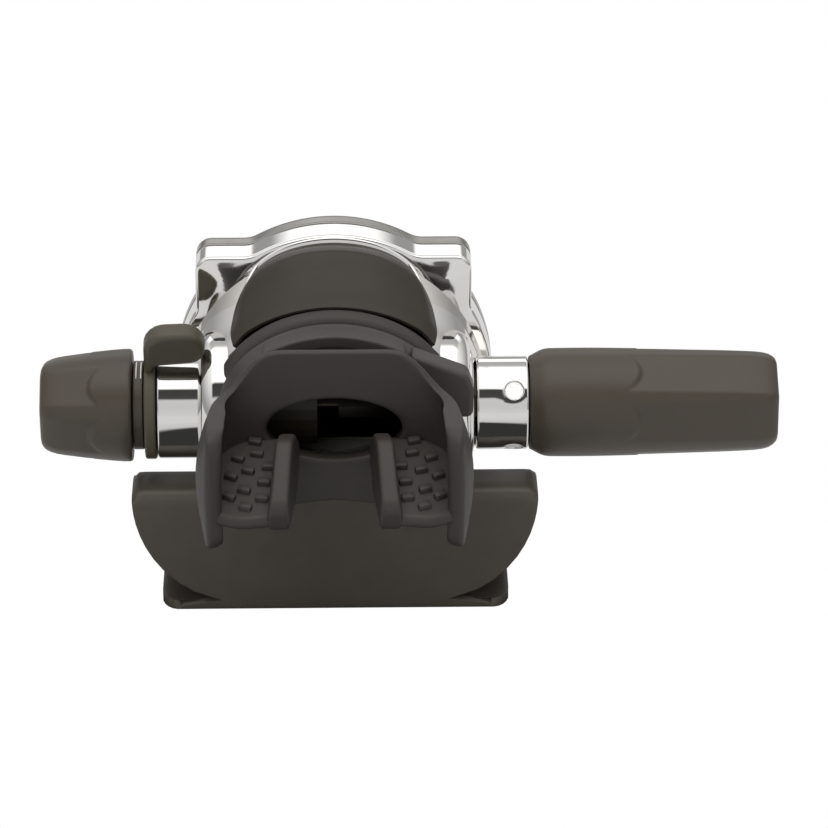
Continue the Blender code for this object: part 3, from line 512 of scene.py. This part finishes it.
def on_spline(stops, x):
    """A smooth value between (place, value) stops."""
    for i in range(len(stops) - 1):
        if x <= stops[i + 1][0] or i == len(stops) - 2:
            t = min(1, max(0, (x - stops[i][0]) / (stops[i + 1][0] - stops[i][0])))
            a, b = stops[max(i - 1, 0)][1], stops[i][1]
            c, d = stops[i + 1][1], stops[min(i + 2, len(stops) - 1)][1]
            return through_four(a, b, c, d, t)


CROWN = [(0, 1.5), (0.12, 2.1), (0.25, 3.0), (0.33, 3.5), (0.41, 3.4), (0.55, 2.7), (0.75, 1.8), (1.0, 0.3)]


def crown(part, across):
    """How far the badge stands off the bowl: nearly level on top, then a face down to the mouthpiece."""
    return on_spline(CROWN, part) * (1 - abs(across) ** 3)


smooth_bowl = flowing(BOWL, 6)
badge = bmesh.new()
bmesh.ops.create_grid(badge, x_segments=72, y_segments=40, size=1)
for v in badge.verts:
    part, across = (1 - v.co.y) / 2, v.co.x
    # Rounded top corners, and a face that stands proud of a sloping border all round.
    corner = 1 - 0.07 * max(0, (0.07 - part) / 0.07) ** 2
    border = eased(part / 0.2) * eased((1 - abs(across)) / 0.22)
    lift = 0.05 + 0.75 * border + crown(part, across)
    section = between(smooth_bowl, 11.7 - 17.5 * part)
    v.co = around(section, math.pi / 2 - badge_reach(part) * corner * across, lift)
badge_plastic = moulded("satin_badge_plastic", "#2a241c", 0.34, 0.08, coat=0.05, shine=0.35)
badge_piece = settle(
    "badge_saddle", badge, badge_plastic, "case", ("badge_cover",), crease=30
)
wall = badge_piece.modifiers.new("wall", "SOLIDIFY")
wall.thickness = 0.0008
wall.offset = 1
soft_edge(badge_piece, 0.00035, 3)

# The bowl's own raised bead frames the badge's top and upper sides.
bead = bmesh.new()
line = []
for i in range(121):
    t = -1 + 2 * i / 120
    if abs(t) < 0.62:
        part, across = 0.0, t / 0.62
    else:
        part, across = (abs(t) - 0.62) / 0.38 * 0.42, math.copysign(1, t)
    y = 11.75 - 17.5 * part
    bend = math.pi / 2 - badge_reach(part) * across
    size = 1.0 - 0.3 * abs(t) - 0.62 * eased((abs(t) - 0.6) / 0.4)
    y = min(12.6, y + 0.55 * (1 - abs(across) ** 6))
    line.append((between(smooth_bowl, y), bend, size, crown(part, across) / 2))
rings = []
for i, (section, bend, size, tall) in enumerate(line):
    here = around(section, bend, 0.0)
    outward = (around(section, bend, 1.0) - here).normalized()
    ahead = line[min(i + 1, 120)]
    behind = line[max(i - 1, 0)]
    run = (around(ahead[0], ahead[1]) - around(behind[0], behind[1])).normalized()
    aside = run.cross(outward).normalized()
    centre = here + outward * (0.9 * size + tall)
    high, wide_by = 1.25 * size + tall, 0.95 * size
    turns = [2 * math.pi * k / 20 for k in range(20)]
    rings.append([centre + outward * math.cos(a) * high + aside * math.sin(a) * wide_by for a in turns])
sleeve_through(bead, rings)
settle("badge_bead", bead, chrome, "case", crease=80)

# ---------------------------------------------------------------- inlet collar
# The nut on the hose side: a chrome ring with four round holes for a pin spanner.
collar = bmesh.new()
per_side = 16
for quarter in range(4):
    middle = math.radians(39 + 90 * quarter)
    half_x, half_turn = 5.55, math.pi / 4

    def on_collar(x, turn, radius=10.9):
        angle = middle + turn
        return Vector((39.1 + x, -radius * math.cos(angle), radius * math.sin(angle)))

    frame_line = []
    for i in range(per_side):
        frame_line.append((half_x, -1 + 2 * i / per_side))
    for i in range(per_side):
        frame_line.append((half_x * (1 - 2 * i / per_side), 1))
    for i in range(per_side):
        frame_line.append((-half_x, 1 - 2 * i / per_side))
    for i in range(per_side):
        frame_line.append((half_x * (-1 + 2 * i / per_side), -1))
    hole_x = 2.6
    count = len(frame_line)
    rings = []
    for t in (0.0, 0.15, 0.35, 0.6, 1.0):
        ring = []
        for i, (x, v) in enumerate(frame_line):
            a = -math.pi / 4 + 2 * math.pi * i / count
            round_point = Vector((hole_x + 2.4 * math.cos(a), 2.4 / 10.9 * math.sin(a)))
            p = Vector((x, v * half_turn)).lerp(round_point, t)
            ring.append(on_collar(p.x, p.y))
        rings.append(ring)
    for shrink, radius in ((2.32, 10.86), (2.26, 10.78), (2.25, 10.6), (2.25, 9.2)):
        ring = []
        for i in range(count):
            a = -math.pi / 4 + 2 * math.pi * i / count
            ring.append(on_collar(hole_x + shrink * math.cos(a), shrink / 10.9 * math.sin(a), radius))
        rings.append(ring)
    ring_by_ring(collar, rings)
bmesh.ops.remove_doubles(collar, verts=collar.verts, dist=0.01)
settle("spanner_collar", collar, chrome, "case", ("inlet_collar",), crease=50)
ends = bmesh.new()
profile = [
    (10.9, 33.55), (10.75, 33.15), (10.4, 33.0), (8.4, 33.0), (8.4, 45.1), (10.4, 45.1), (10.75, 44.95),
    (10.9, 44.65), (10.2, 44.6), (9.2, 44.4), (9.2, 33.7), (10.2, 33.6),
]
turned(ends, profile)
settle("collar_core", ends, chrome, "case")
# The holes' floors get a pale, nearly matt finish instead of plain chrome, to read white.
frosted = plated("frosted_chrome", "#f7f6f4", 0.55, 0.65)
frosted.node_tree.nodes["Principled BSDF"].inputs["Metallic"].default_value = 0.15
floors = bmesh.new()
for quarter in range(4):
    facing = math.radians(39 + 90 * quarter)
    plug = {"cap_ends": True, "segments": 48, "radius1": 2.24, "radius2": 2.1, "depth": 0.5}
    made = bmesh.ops.create_cone(floors, **plug)["verts"]
    outward = Matrix.Rotation(math.pi / 2 - facing, 3, "X")
    bmesh.ops.rotate(floors, verts=made, cent=(0, 0, 0), matrix=outward)
    bmesh.ops.translate(floors, verts=made, vec=(41.7, -10.1 * math.cos(facing), 10.1 * math.sin(facing)))
settle("pin_hole_floors", floors, frosted, "case")

# ---------------------------------------------------------------- hose sleeve
# A moulded rubber sleeve that slides over the hose end: round at the collar, then six-sided
# for grip.
GRIP_POINTS = 240
# How tightly a flat meets the round: higher is crisper.
SHARPNESS = 14


def round_ring(x, radius):
    """A plain ring round the valve's axis."""
    angles = [2 * math.pi * i / GRIP_POINTS for i in range(GRIP_POINTS)]
    return [Vector((x, radius * math.cos(a), radius * math.sin(a))) for a in angles]


def six_sided(line, ridge, start, depth):
    """Rings along X of a round form with six flats milled into it. line lists (x, radius).

    ridge is the angle of one edge between two flats. The flats begin at start in the middle,
    and further along at their edges. depth gives how deep each of three neighbouring flats
    is, where it starts and at the far end.
    """
    rings = []
    for x, radius in line:
        ring = []
        for i in range(GRIP_POINTS):
            angle = 2 * math.pi * i / GRIP_POINTS
            turn = (angle - ridge) % (2 * math.pi)
            facet = int(turn // (math.pi / 3)) % 3
            off = abs(turn % (math.pi / 3) - math.pi / 6)
            along = (x - start) / (line[-1][0] - start)
            first, last = depth[facet]
            flat = radius - first - (last - first) * max(0, along)
            cut = flat / math.cos(off)
            least = -math.log(math.exp(-SHARPNESS * radius) + math.exp(-SHARPNESS * cut)) / SHARPNESS
            begins = abs(x - start) * (1 if along > 0 else -1) + 5.0 * (off / (math.pi / 6)) ** 2
            share = eased(begins / 1.0)
            least = radius + (min(least, radius) - radius) * share
            ring.append(Vector((x, least * math.cos(angle), least * math.sin(angle))))
        rings.append(ring)
    return rings


rubber = moulded("satin_sleeve_rubber", "#3e372e", 0.42, 0.25)
line = [
    (45.4, 10.6), (45.5, 10.85), (46.2, 11.2), (47.2, 11.75), (48.2, 12.25), (49.0, 12.5), (50.0, 12.64),
    (52, 12.68), (55, 12.7), (58, 12.7), (61, 12.68), (64, 12.64),
    *[(65 + 0.5 * i, 12.62 - 0.01 * i) for i in range(16)], (74, 12.44), (78, 12.34), (82, 12.24),
    (86, 12.14), (90, 12.04), (93, 11.94), (96, 11.82), (98.4, 11.68), (100.2, 11.45), (101.5, 11.1),
    (102.4, 10.6), (103.0, 10.0), (103.25, 9.4), (103.3, 8.8),
]
rings = six_sided(line, math.radians(31), 70.6, [(0.3, 0.3), (1.0, 1.2), (1.0, 1.2)])
for x, r in ((103.3, 7.4), (103.15, 6.8), (102.7, 6.5), (76.0, 6.5), (73.0, 9.3), (45.4, 9.3)):
    rings.append(round_ring(x, r))
sleeve = bmesh.new()
sleeve_through(sleeve, rings, closed=True)
settle("hose_sleeve_moulding", sleeve, rubber, "sleeve", ("hose_sleeve",), crease=50)

# ---------------------------------------------------------------- adjustment knob
# The six-sided breathing-effort knob with a round rim, moulded in dark plastic of the
# sleeve's colour. It turns on the boss.
knob_plastic = moulded("satin_knob_plastic", "#3e372e", 0.40, 0.2)
line = [
    (-47.0, 12.2), (-47.05, 12.7), (-47.3, 13.0), (-47.7, 13.15), (-49.2, 13.15), (-49.6, 13.1),
    (-51.8, 12.95),
    *[(-52.0 - 0.4 * i, 12.92 - 0.04 * i) for i in range(16)], (-60.8, 11.95), (-62.8, 11.7), (-64.6, 11.4),
    (-66.0, 11.0), (-67.1, 10.5), (-67.8, 9.9), (-68.25, 9.1), (-68.4, 8.2),
]
rings = six_sided(line, math.radians(45), -56.4, [(0.35, 0.4), (1.0, 0.8), (1.0, 0.8)])
bore = [(-68.4, 4.2), (-68.2, 3.8), (-66.1, 3.8), (-66.1, 1.8), (-64.4, 1.8), (-64.4, 3.6), (-47.0, 3.6)]
for x, r in bore:
    rings.append(round_ring(x, r))
knob = bmesh.new()
sleeve_through(knob, rings, closed=True)
settle("knob_moulding", knob, knob_plastic, "knob", ("adjustment_knob",), crease=50)

# ---------------------------------------------------------------- index ring
# A thin neck behind the knob with two short white printed ticks to count turns by.
neck = bmesh.new()
turned(neck, softened([(10.35, -46.7, 0.25), (10.35, -44.4, 0.25), (9.3, -44.4, 0), (9.3, -46.7, 0)]))
settle("index_neck", neck, knob_plastic, "case", ("index_ring",))
ink = moulded("white_tick_ink", "#e9e6df", 0.5, 0.1, 0.03)
for i, x in enumerate((-44.9, -46.0)):
    tick = bmesh.new()
    corners = [tick.verts.new((x + dx, 0, 10.42)) for dx in (-0.13, 0.13)]
    line = tick.edges.new(corners)
    start = Matrix.Rotation(math.radians(-8), 3, "X")
    bmesh.ops.rotate(tick, cent=(0, 0, 0), matrix=start, verts=corners)
    sweep = {"cent": (0, 0, 0), "axis": (1, 0, 0), "angle": math.radians(38), "steps": 12}
    bmesh.ops.spin(tick, geom=[line, *corners], **sweep)
    piece = settle(f"index_tick_{i + 1}", tick, ink, "case")
    skin = piece.modifiers.new("ink", "SOLIDIFY")
    skin.thickness = 0.00006
    skin.offset = 0

# ---------------------------------------------------------------- venturi lever
# A collar that turns on the boss, with a thumb tab that stands off it and reaches inwards.
lever_plastic = moulded("satin_lever_plastic", "#464135", 0.45, 0.2)
ring = bmesh.new()
turned(ring, softened([(8.5, -44.1, 0.2), (12.6, -44.1, 0.5), (12.6, -41.4, 0.5), (8.5, -41.4, 0.2)]))
settle("lever_collar", ring, lever_plastic, "venturi", ("venturi_lever",))
tab = bmesh.new()
upper_edge = [(-44.0, 9.5, 0), (-44.0, 23.8, 5.2), (-29.8, 24.4, 5.0)]
lower_edge = [(-29.8, 15.4, 3.9), (-41.3, 14.2, 0)]
outline = softened(upper_edge + lower_edge, 6)
face = tab.faces.new([tab.verts.new((x, -2.6, z)) for x, z in outline])
made = bmesh.ops.extrude_face_region(tab, geom=[face])["geom"]
bmesh.ops.translate(tab, verts=[v for v in made if isinstance(v, bmesh.types.BMVert)], vec=(0, 5.2, 0))
bmesh.ops.rotate(tab, verts=tab.verts, cent=(0, 0, 0), matrix=Matrix.Rotation(math.radians(20), 3, "X"))
tab_piece = settle("lever_tab", tab, lever_plastic, "venturi")
soft_edge(tab_piece, 0.0017, 5, 50)

# ---------------------------------------------------------------- exhaust tee
# The wide deflector under the valve: one dark rubber moulding, open at both ends, with a
# folded top edge, a near wall that curves in towards the floor, and a flat floor lip.
NEAR = -14.5
TEE = [
    # (y, z) round the section, from the near wall's foot over the top to the floor
    (NEAR, -45.2), (NEAR, -43.8), (NEAR, -41.5), (NEAR, -39.0), (NEAR, -36.0), (NEAR, -33.0),
    (NEAR, -30.0), (NEAR, -27.0), (NEAR, -24.0), (NEAR, -21.5), (NEAR, -19.4), (NEAR, -18.0),
    (NEAR + 0.25, -16.9), (NEAR + 0.9, -16.15), (NEAR + 2.0, -15.8), (-9.0, -15.75), (-5.0, -15.75),
    (-2.8, -15.85), (-1.2, -16.6), (0.2, -18.2), (2.5, -21.5), (5.5, -25.6), (8.5, -29.8),
    (11.5, -34.0), (14.5, -38.3), (16.6, -41.4), (17.6, -43.4), (18.2, -45.2), (18.3, -46.1),
    (17.6, -46.6), (14.0, -46.6), (8.0, -46.6), (2.0, -46.6), (-3.0, -46.6), (-6.4, -46.6),
    (-8.8, -46.6), (-10.6, -46.6), (-12.0, -46.6), (-13.2, -46.5), (-14.0, -46.3), (-14.4, -45.9),
]


def tee_half(y, z, near_wall):
    """Half the tee's length at a place of its section."""
    if near_wall and z > -45:
        fall = min(1.0, max(0.0, (-17.25 - z) / 27.0))
        return 22 + 25.3 * math.sqrt(1 - fall * fall)
    if z < -44:
        if y > -7.6:
            return 40.8
        return 33.3 + 7.5 * math.sqrt(max(0, 1 - ((-7.6 - y) / 7.5) ** 2))
    return 47.3 - 6.7 * eased((-17 - z) / 26)


tee = bmesh.new()
across = 64
bmesh.ops.create_grid(tee, x_segments=across, y_segments=len(TEE), size=1)
for v in tee.verts:
    k = round((v.co.y + 1) / 2 * len(TEE)) % len(TEE)
    y, z = TEE[k]
    half = tee_half(y, z, y <= NEAR + 0.3)
    # The ends of the top fold are rounded off.
    drop = max(0.0, abs(v.co.x) * half - 45.0) / 2.3 if z > -17.5 and y < -1 else 0.0
    v.co = Vector((v.co.x * half, y, z - 1.6 * (1 - math.sqrt(max(0, 1 - drop * drop)))))
bmesh.ops.remove_doubles(tee, verts=tee.verts, dist=0.001)
tee_rubber = moulded("satin_tee_rubber", "#443f38", 0.46, 0.25)
tee_piece = settle("exhaust_deflector", tee, tee_rubber, "case", ("exhaust_tee",), crease=60)
wall = tee_piece.modifiers.new("wall", "SOLIDIFY")
wall.thickness = 0.0021
wall.offset = -1
soft_edge(tee_piece, 0.0007, 3, 60)

# ---------------------------------------------------------------- mouthpiece
# A soft silicone moulding: a boot stretched over the bowl's port, a gum shield that wraps
# the teeth, and two bite platforms with studs, each ended by an upright lug.
BOOT = [
    (-6.3, 27.0, 25.7, -13.7, 5.0),
    (-6.5, 27.6, 26.3, -14.4, 5.0),
    (-7.1, 27.9, 26.6, -14.8, 5.0),
    (-9.0, 27.2, 25.9, -14.8, 4.6),
    (-9.9, 26.5, 24.9, -14.0, 4.3),
    (-10.5, 25.8, 24.1, -13.2, 4.2),
    (-14.0, 24.3, 22.9, -12.4, 3.2),
    (-20.0, 21.9, 20.6, -9.2, 1.4),
    (-25.0, 19.7, 18.7, -5.0, 0),
    (-28.4, 18.9, 18.4, -3.6, 0),
]
BOOT_INSIDE = [
    (-31.0, 15.45, 15.25, 0.35, 0),
    (-26.0, 15.9, 15.7, -0.8, 0),
    (-19.6, 18.0, 17.4, -5.8, 0),
    (-19.3, 19.2, 18.7, -7.1, 0),
    (-14.0, 21.7, 21.1, -10.3, 2.6),
    (-5.8, 24.6, 24.5, -12.8, 4.9),
]
POINTS = 192
SHIELD_HALF = 51.0
SHIELD_MIDDLE = 4.0
# The shield's upper and lower edge and its lean inwards, by the distance along it.
UPPER = [
    (0, 26.8), (9, 26.8), (13, 26.7), (16, 25.8), (20, 22.9), (24.7, 19.4), (27, 18.4), (31, 17.9),
    (41, 17.8), (51, 17.6),
]
LOWER = [(0, -10.0), (6, -10.6), (12, -11.4), (20, -11.2), (30, -10.6), (40, -10.2), (51, -10.0)]
LEAN = [(0, 0), (18, 0), (24, 0.7), (28.4, 1.6), (32, 2.4), (36, 3.1), (40, 2.9), (45.4, 2.1), (51, 0.3)]


def shield_at(s, z, out=0.0):
    """A point of the gum shield: s runs along it from the middle, out lifts it off to the diver."""
    flat, bend = 14.4, 15.7
    travel, side = abs(s), (1 if s >= 0 else -1)
    if travel < flat:
        x, y, turn = travel, -31.0, 0.0
    elif travel < flat + bend * math.pi / 2:
        turn = (travel - flat) / bend
        x, y = flat + bend * math.sin(turn), -31.0 - bend * (1 - math.cos(turn))
    else:
        rest = travel - flat - bend * math.pi / 2
        turn = math.pi / 2 + 0.038 * rest
        x, y = flat + bend - 0.019 * rest**2, -31.0 - bend - rest
    x -= on_spline(LEAN, travel) * ((z - 4) / 14) ** 2 * (1 if z > 4 else 0.6)
    # The lobes are thicker than the middle, all of it on their inner side.
    out *= 1 + 1.6 * eased((travel - 26) / 14) if out > 0 else 1
    return Vector((side * (x - out * math.sin(turn)), y - out * math.cos(turn), z))


def shield_outline():
    """The shield's outline as (s, z), POINTS of them from the middle of the right-hand end."""
    quarters = []
    for edge_line, way, corner in ((UPPER, 1, 4.2), (LOWER, -1, 2.0)):
        end = on_spline(edge_line, SHIELD_HALF)
        line = [(SHIELD_HALF, SHIELD_MIDDLE), (SHIELD_HALF, end - way * corner)]
        for i in range(1, 8):
            a = math.pi / 2 * i / 8
            line.append((SHIELD_HALF - corner * (1 - math.cos(a)), end - way * corner * (1 - math.sin(a))))
        for i in range(49):
            s = (SHIELD_HALF - corner) * (1 - i / 48)
            line.append((s, on_spline(edge_line, s)))
        quarters.append(line)
    per = POINTS // 4
    first = spaced(quarters[0], per)
    lower = spaced(quarters[1], per)
    top = Vector((0, on_spline(UPPER, 0)))
    low = Vector((0, on_spline(LOWER, 0)))
    flip = [Vector((-p.x, p.y)) for p in [top] + first[:0:-1]]
    left_low = [Vector((-p.x, p.y)) for p in lower]
    return first + flip + left_low + [low] + lower[:0:-1]


edge_of_shield = shield_outline()


def shield_ring(start, part, out):
    """A ring on the shield between an oval hole (half width, top, bottom) and its outline."""
    half_width, top, bottom = start
    ring = []
    for i, rim_point in enumerate(edge_of_shield):
        angle = 2 * math.pi * i / POINTS
        rise = (top + bottom) / 2 + (top - bottom) / 2 * math.sin(angle)
        inner = Vector((half_width * math.cos(angle), rise))
        p = inner.lerp(rim_point, part)
        ring.append(shield_at(p.x, p.y, out))
    return ring


thick = 1.15
rings = [oval(section, 0, POINTS) for section in flowing(BOOT, 3)]
rings.append(oval((-29.3, 19.1, 18.6, -3.8, 0), 0, POINTS))
rings.append(oval((-29.75, 19.7, 19.2, -4.4, 0), 0, POINTS))
for part in (0.16, 0.28, 0.42, 0.56, 0.7, 0.82, 0.91, 0.955):
    rings.append(shield_ring((18.6, 18.2, -3.4), part, -thick))
for i in range(1, 12):
    a = math.pi * i / 12
    rings.append(shield_ring((18.6, 18.2, -3.4), 0.955 + 0.045 * math.sin(a), -thick * math.cos(a)))
hole = (15.6, 15.4, 0.2)
for part in (0.955, 0.91, 0.82, 0.7, 0.56, 0.42, 0.28, 0.16, 0.08, 0.03):
    rings.append(shield_ring(hole, part, thick))
rings.append(shield_ring(hole, 0.005, thick - 0.15))
rings.append(shield_ring(hole, -0.005, thick - 0.6))
rings += [oval(section, 0, POINTS) for section in flowing(BOOT_INSIDE, 2)]
mouth = bmesh.new()
sleeve_through(mouth, rings, closed=True)
silicone = moulded("matt_black_silicone", "#2f2b28", 0.52, 0.35)
settle("mouthpiece_moulding", mouth, silicone, "case", ("mouthpiece",), crease=60)


def slab(shape, outline, low, high, axis):
    """A flat outline pushed from low to high along an axis."""

    def put(u, v, w):
        return {"X": (w, u, v), "Y": (u, w, v), "Z": (u, v, w)}[axis]

    face = shape.faces.new([shape.verts.new(put(u, v, low)) for u, v in outline])
    made = bmesh.ops.extrude_face_region(shape, geom=[face])["geom"]
    fresh = [item for item in made if isinstance(item, bmesh.types.BMVert)]
    bmesh.ops.translate(shape, verts=fresh, vec=put(0, 0, high - low))


SLOPE = 0.306
STUDS = [
    (18.0, -34.6), (21.8, -40.1), (17.5, -38.5), (14.9, -42.8), (23.3, -45.9), (19.5, -44.0), (15.9, -47.8),
    (23.6, -52.4), (20.3, -50.3), (16.3, -53.0), (20.0, -55.7),
]
RIM = [
    (9.6, -32, 0), (21.0, -33.2, 3), (25.0, -35.8, 4), (28.6, -40.6, 6), (30.2, -48.3, 8), (29.2, -57.0, 3.4),
    (21.0, -59.4, 8), (14.0, -58.6, 4),
]


def platform_height(y):
    return 6.4 + SLOPE * (y + 32)


for side, sign in (("left", -1), ("right", 1)):
    platform = bmesh.new()
    slab(platform, [(sign * x, y) for x, y in softened([*RIM, (10.6, -56.0, 0)], 8)], -2.9, 0.0, "Z")
    for v in platform.verts:
        v.co.z += platform_height(v.co.y)
    piece = settle(f"bite_platform_{side}", platform, silicone, "case")
    soft_edge(piece, 0.0012, 4, 50)
    lug = bmesh.new()
    over = [(-33.0, 5.5, 1.0), (-39.5, 10.2, 4.0), (-46.5, 11.5, 5.0), (-60.0, 1.0, 4.0)]
    slab(lug, softened([*over, (-58.4, -5.4, 2.4), (-40.0, -5.6, 2.5), (-33.0, 1.0, 1.0)], 8), -2.0, 2.0, "X")
    for v in lug.verts:
        # Splayed, and thicker and rounder towards its lower front.
        front = eased((-40 - v.co.y) / 20) * eased((8 - v.co.z) / 12)
        thickened = v.co.x * (1 + 0.22 * front)
        v.co.x = sign * (thickened + 6.5 - 0.104 * v.co.y - 0.1 * max(0, v.co.z) * front)
    piece = settle(f"bite_lug_{side}", lug, silicone, "case")
    soft_edge(piece, 0.0019, 6, 50)
    studs = bmesh.new()
    for x, y in STUDS:
        made = bmesh.ops.create_cube(studs, size=1)["verts"]
        for v in made:
            lean = sign * math.radians(4 + 2.6 * max(0, x - 15))
            across, along = v.co.x * 2.9, v.co.y * 1.6
            v.co.x = sign * x + across * math.cos(lean) - along * math.sin(lean)
            v.co.y, v.co.z = y + across * math.sin(lean) + along * math.cos(lean), v.co.z * 2.2
            v.co.z += platform_height(v.co.y)
    rounding = {"offset": 0.25, "segments": 2, "profile": 0.5, "affect": "EDGES", "material": -1}
    bmesh.ops.bevel(studs, geom=studs.edges[:], **rounding)
    settle(f"bite_studs_{side}", studs, silicone, "case")

# ---------------------------------------------------------------- clamp
# The plastic strap that holds the boot on the port, with a raised plain plate on top and its
# ratchet buckle at the hose side.
clamp_plastic = moulded("matt_clamp_plastic", "#3b3735", 0.5, 0.3)
strap = bmesh.new()
smooth_boot = flowing(BOOT, 4)
levels = [
    (-11.6, 0.1), (-11.6, 1.3), (-11.75, 1.55), (-12.1, 1.7), (-17.9, 1.7), (-18.25, 1.55), (-18.4, 1.3),
    (-18.4, 0.1),
]
sleeve_through(strap, [oval(between(smooth_boot, y), grow) for y, grow in levels], closed=True)
settle("clamp_strap", strap, clamp_plastic, "case", ("mouthpiece_clamp",))
plate = bmesh.new()
ridge = [(-16.4 + 32.8 * i / 40, 25.0) for i in range(41)]
under = [(x, 21.9) for x, _ in reversed(ridge)]
slab(plate, ridge + under, -18.7, -11.3, "Y")
for v in plate.verts:
    v.co.z -= v.co.x**2 / 63
piece = settle("clamp_plate", plate, clamp_plastic, "case")
soft_edge(piece, 0.0009, 4, 50)
buckle = bmesh.new()
corners = [(17.6, 21.0, 0), (30.6, 15.9, 2.4), (32.0, 12.0, 2.0), (31.8, 5.4, 1.6), (20.0, 5.0, 0)]
slab(buckle, softened(corners), -20.8, -14.2, "Y")
piece = settle("clamp_buckle", buckle, clamp_plastic, "case")
soft_edge(piece, 0.0010, 4, 50)

# ---------------------------------------------------------------- purge button
# The soft button in the front cover, slightly domed, with one shallow ring pressed into it.
purge_rubber = moulded("matt_purge_rubber", "#3f3b37", 0.5, 0.35)
button = bmesh.new()
profile = [
    (0, 31.9), (8, 31.75), (14, 31.45), (17.4, 31.1), (17.9, 30.75), (18.5, 30.75), (19.0, 30.95),
    (21.5, 30.55), (23.4, 30.0), (24.2, 29.4), (24.5, 28.6), (24.5, 26.9), (26.0, 26.9), (26.0, 26.1),
    (22.4, 26.1), (18, 29.3), (2.6, 30.1), (2.6, 17.8), (0, 17.8),
]
turned(button, profile, axis=(0, 1, 0))
settle("purge_button_moulding", button, purge_rubber, "purge", ("purge_button",), crease=30)

# ---------------------------------------------------------------- inner parts
# Brass, stainless steel, nylon and milky silicone, as machined or moulded. Brass and the
# chrome of the barrel are coloured much darker than the real metals: painted shade, to read black inside.
def machined(name, code, roughness, scale):
    """Turned metal: fine tool marks round the valve's axis, drawn coarse enough to show."""
    made = bpy.data.materials.new(name)
    made.use_nodes = True
    tree = made.node_tree
    shader = tree.nodes["Principled BSDF"]
    shader.inputs["Base Color"].default_value = linear(code)
    shader.inputs["Metallic"].default_value = 1.0
    place = add_node(tree, "ShaderNodeTexCoord")
    bands = {"Scale": scale, "Distortion": 0.4, "bands_direction": "X"}
    marks = add_node(tree, "ShaderNodeTexWave", bands, {"Vector": (place, "Object")})
    spread = {"To Min": roughness, "To Max": roughness + 0.12}
    rough = add_node(tree, "ShaderNodeMapRange", spread, {"Value": (marks, 1)})
    tree.links.new(rough.outputs[0], shader.inputs["Roughness"])
    return made


finishes = {
    # The dark brass and barrel chrome here are painted shade.
    "brass": machined("turned_brass_painted_shade", "#3a342c", 0.25, 500.0),
    "steel": machined("stainless_steel", "#bdbcb9", 0.28, 500.0),
    "nylon": moulded("natural_nylon", "#cfccc0", 0.45, 0.2, 0.04),
    "silicone": moulded("milky_silicone", "#b9b8b0", 0.4, 0.2, 0.05),
    "seal": moulded("black_seal_rubber", "#1c1b1a", 0.55, 0.3),
    "chrome": plated("barrel_chrome_painted_shade", "#38352f", 0.15, 0.25),
    "moulded_plastic": knob_plastic,
}
for entry in frame["record"]["subparts"]:
    if entry["material_slot"] in finishes:
        node = frame["nodes"][entry["node"]]
        node.data.materials.clear()
        node.data.materials.append(finishes[entry["material_slot"]])
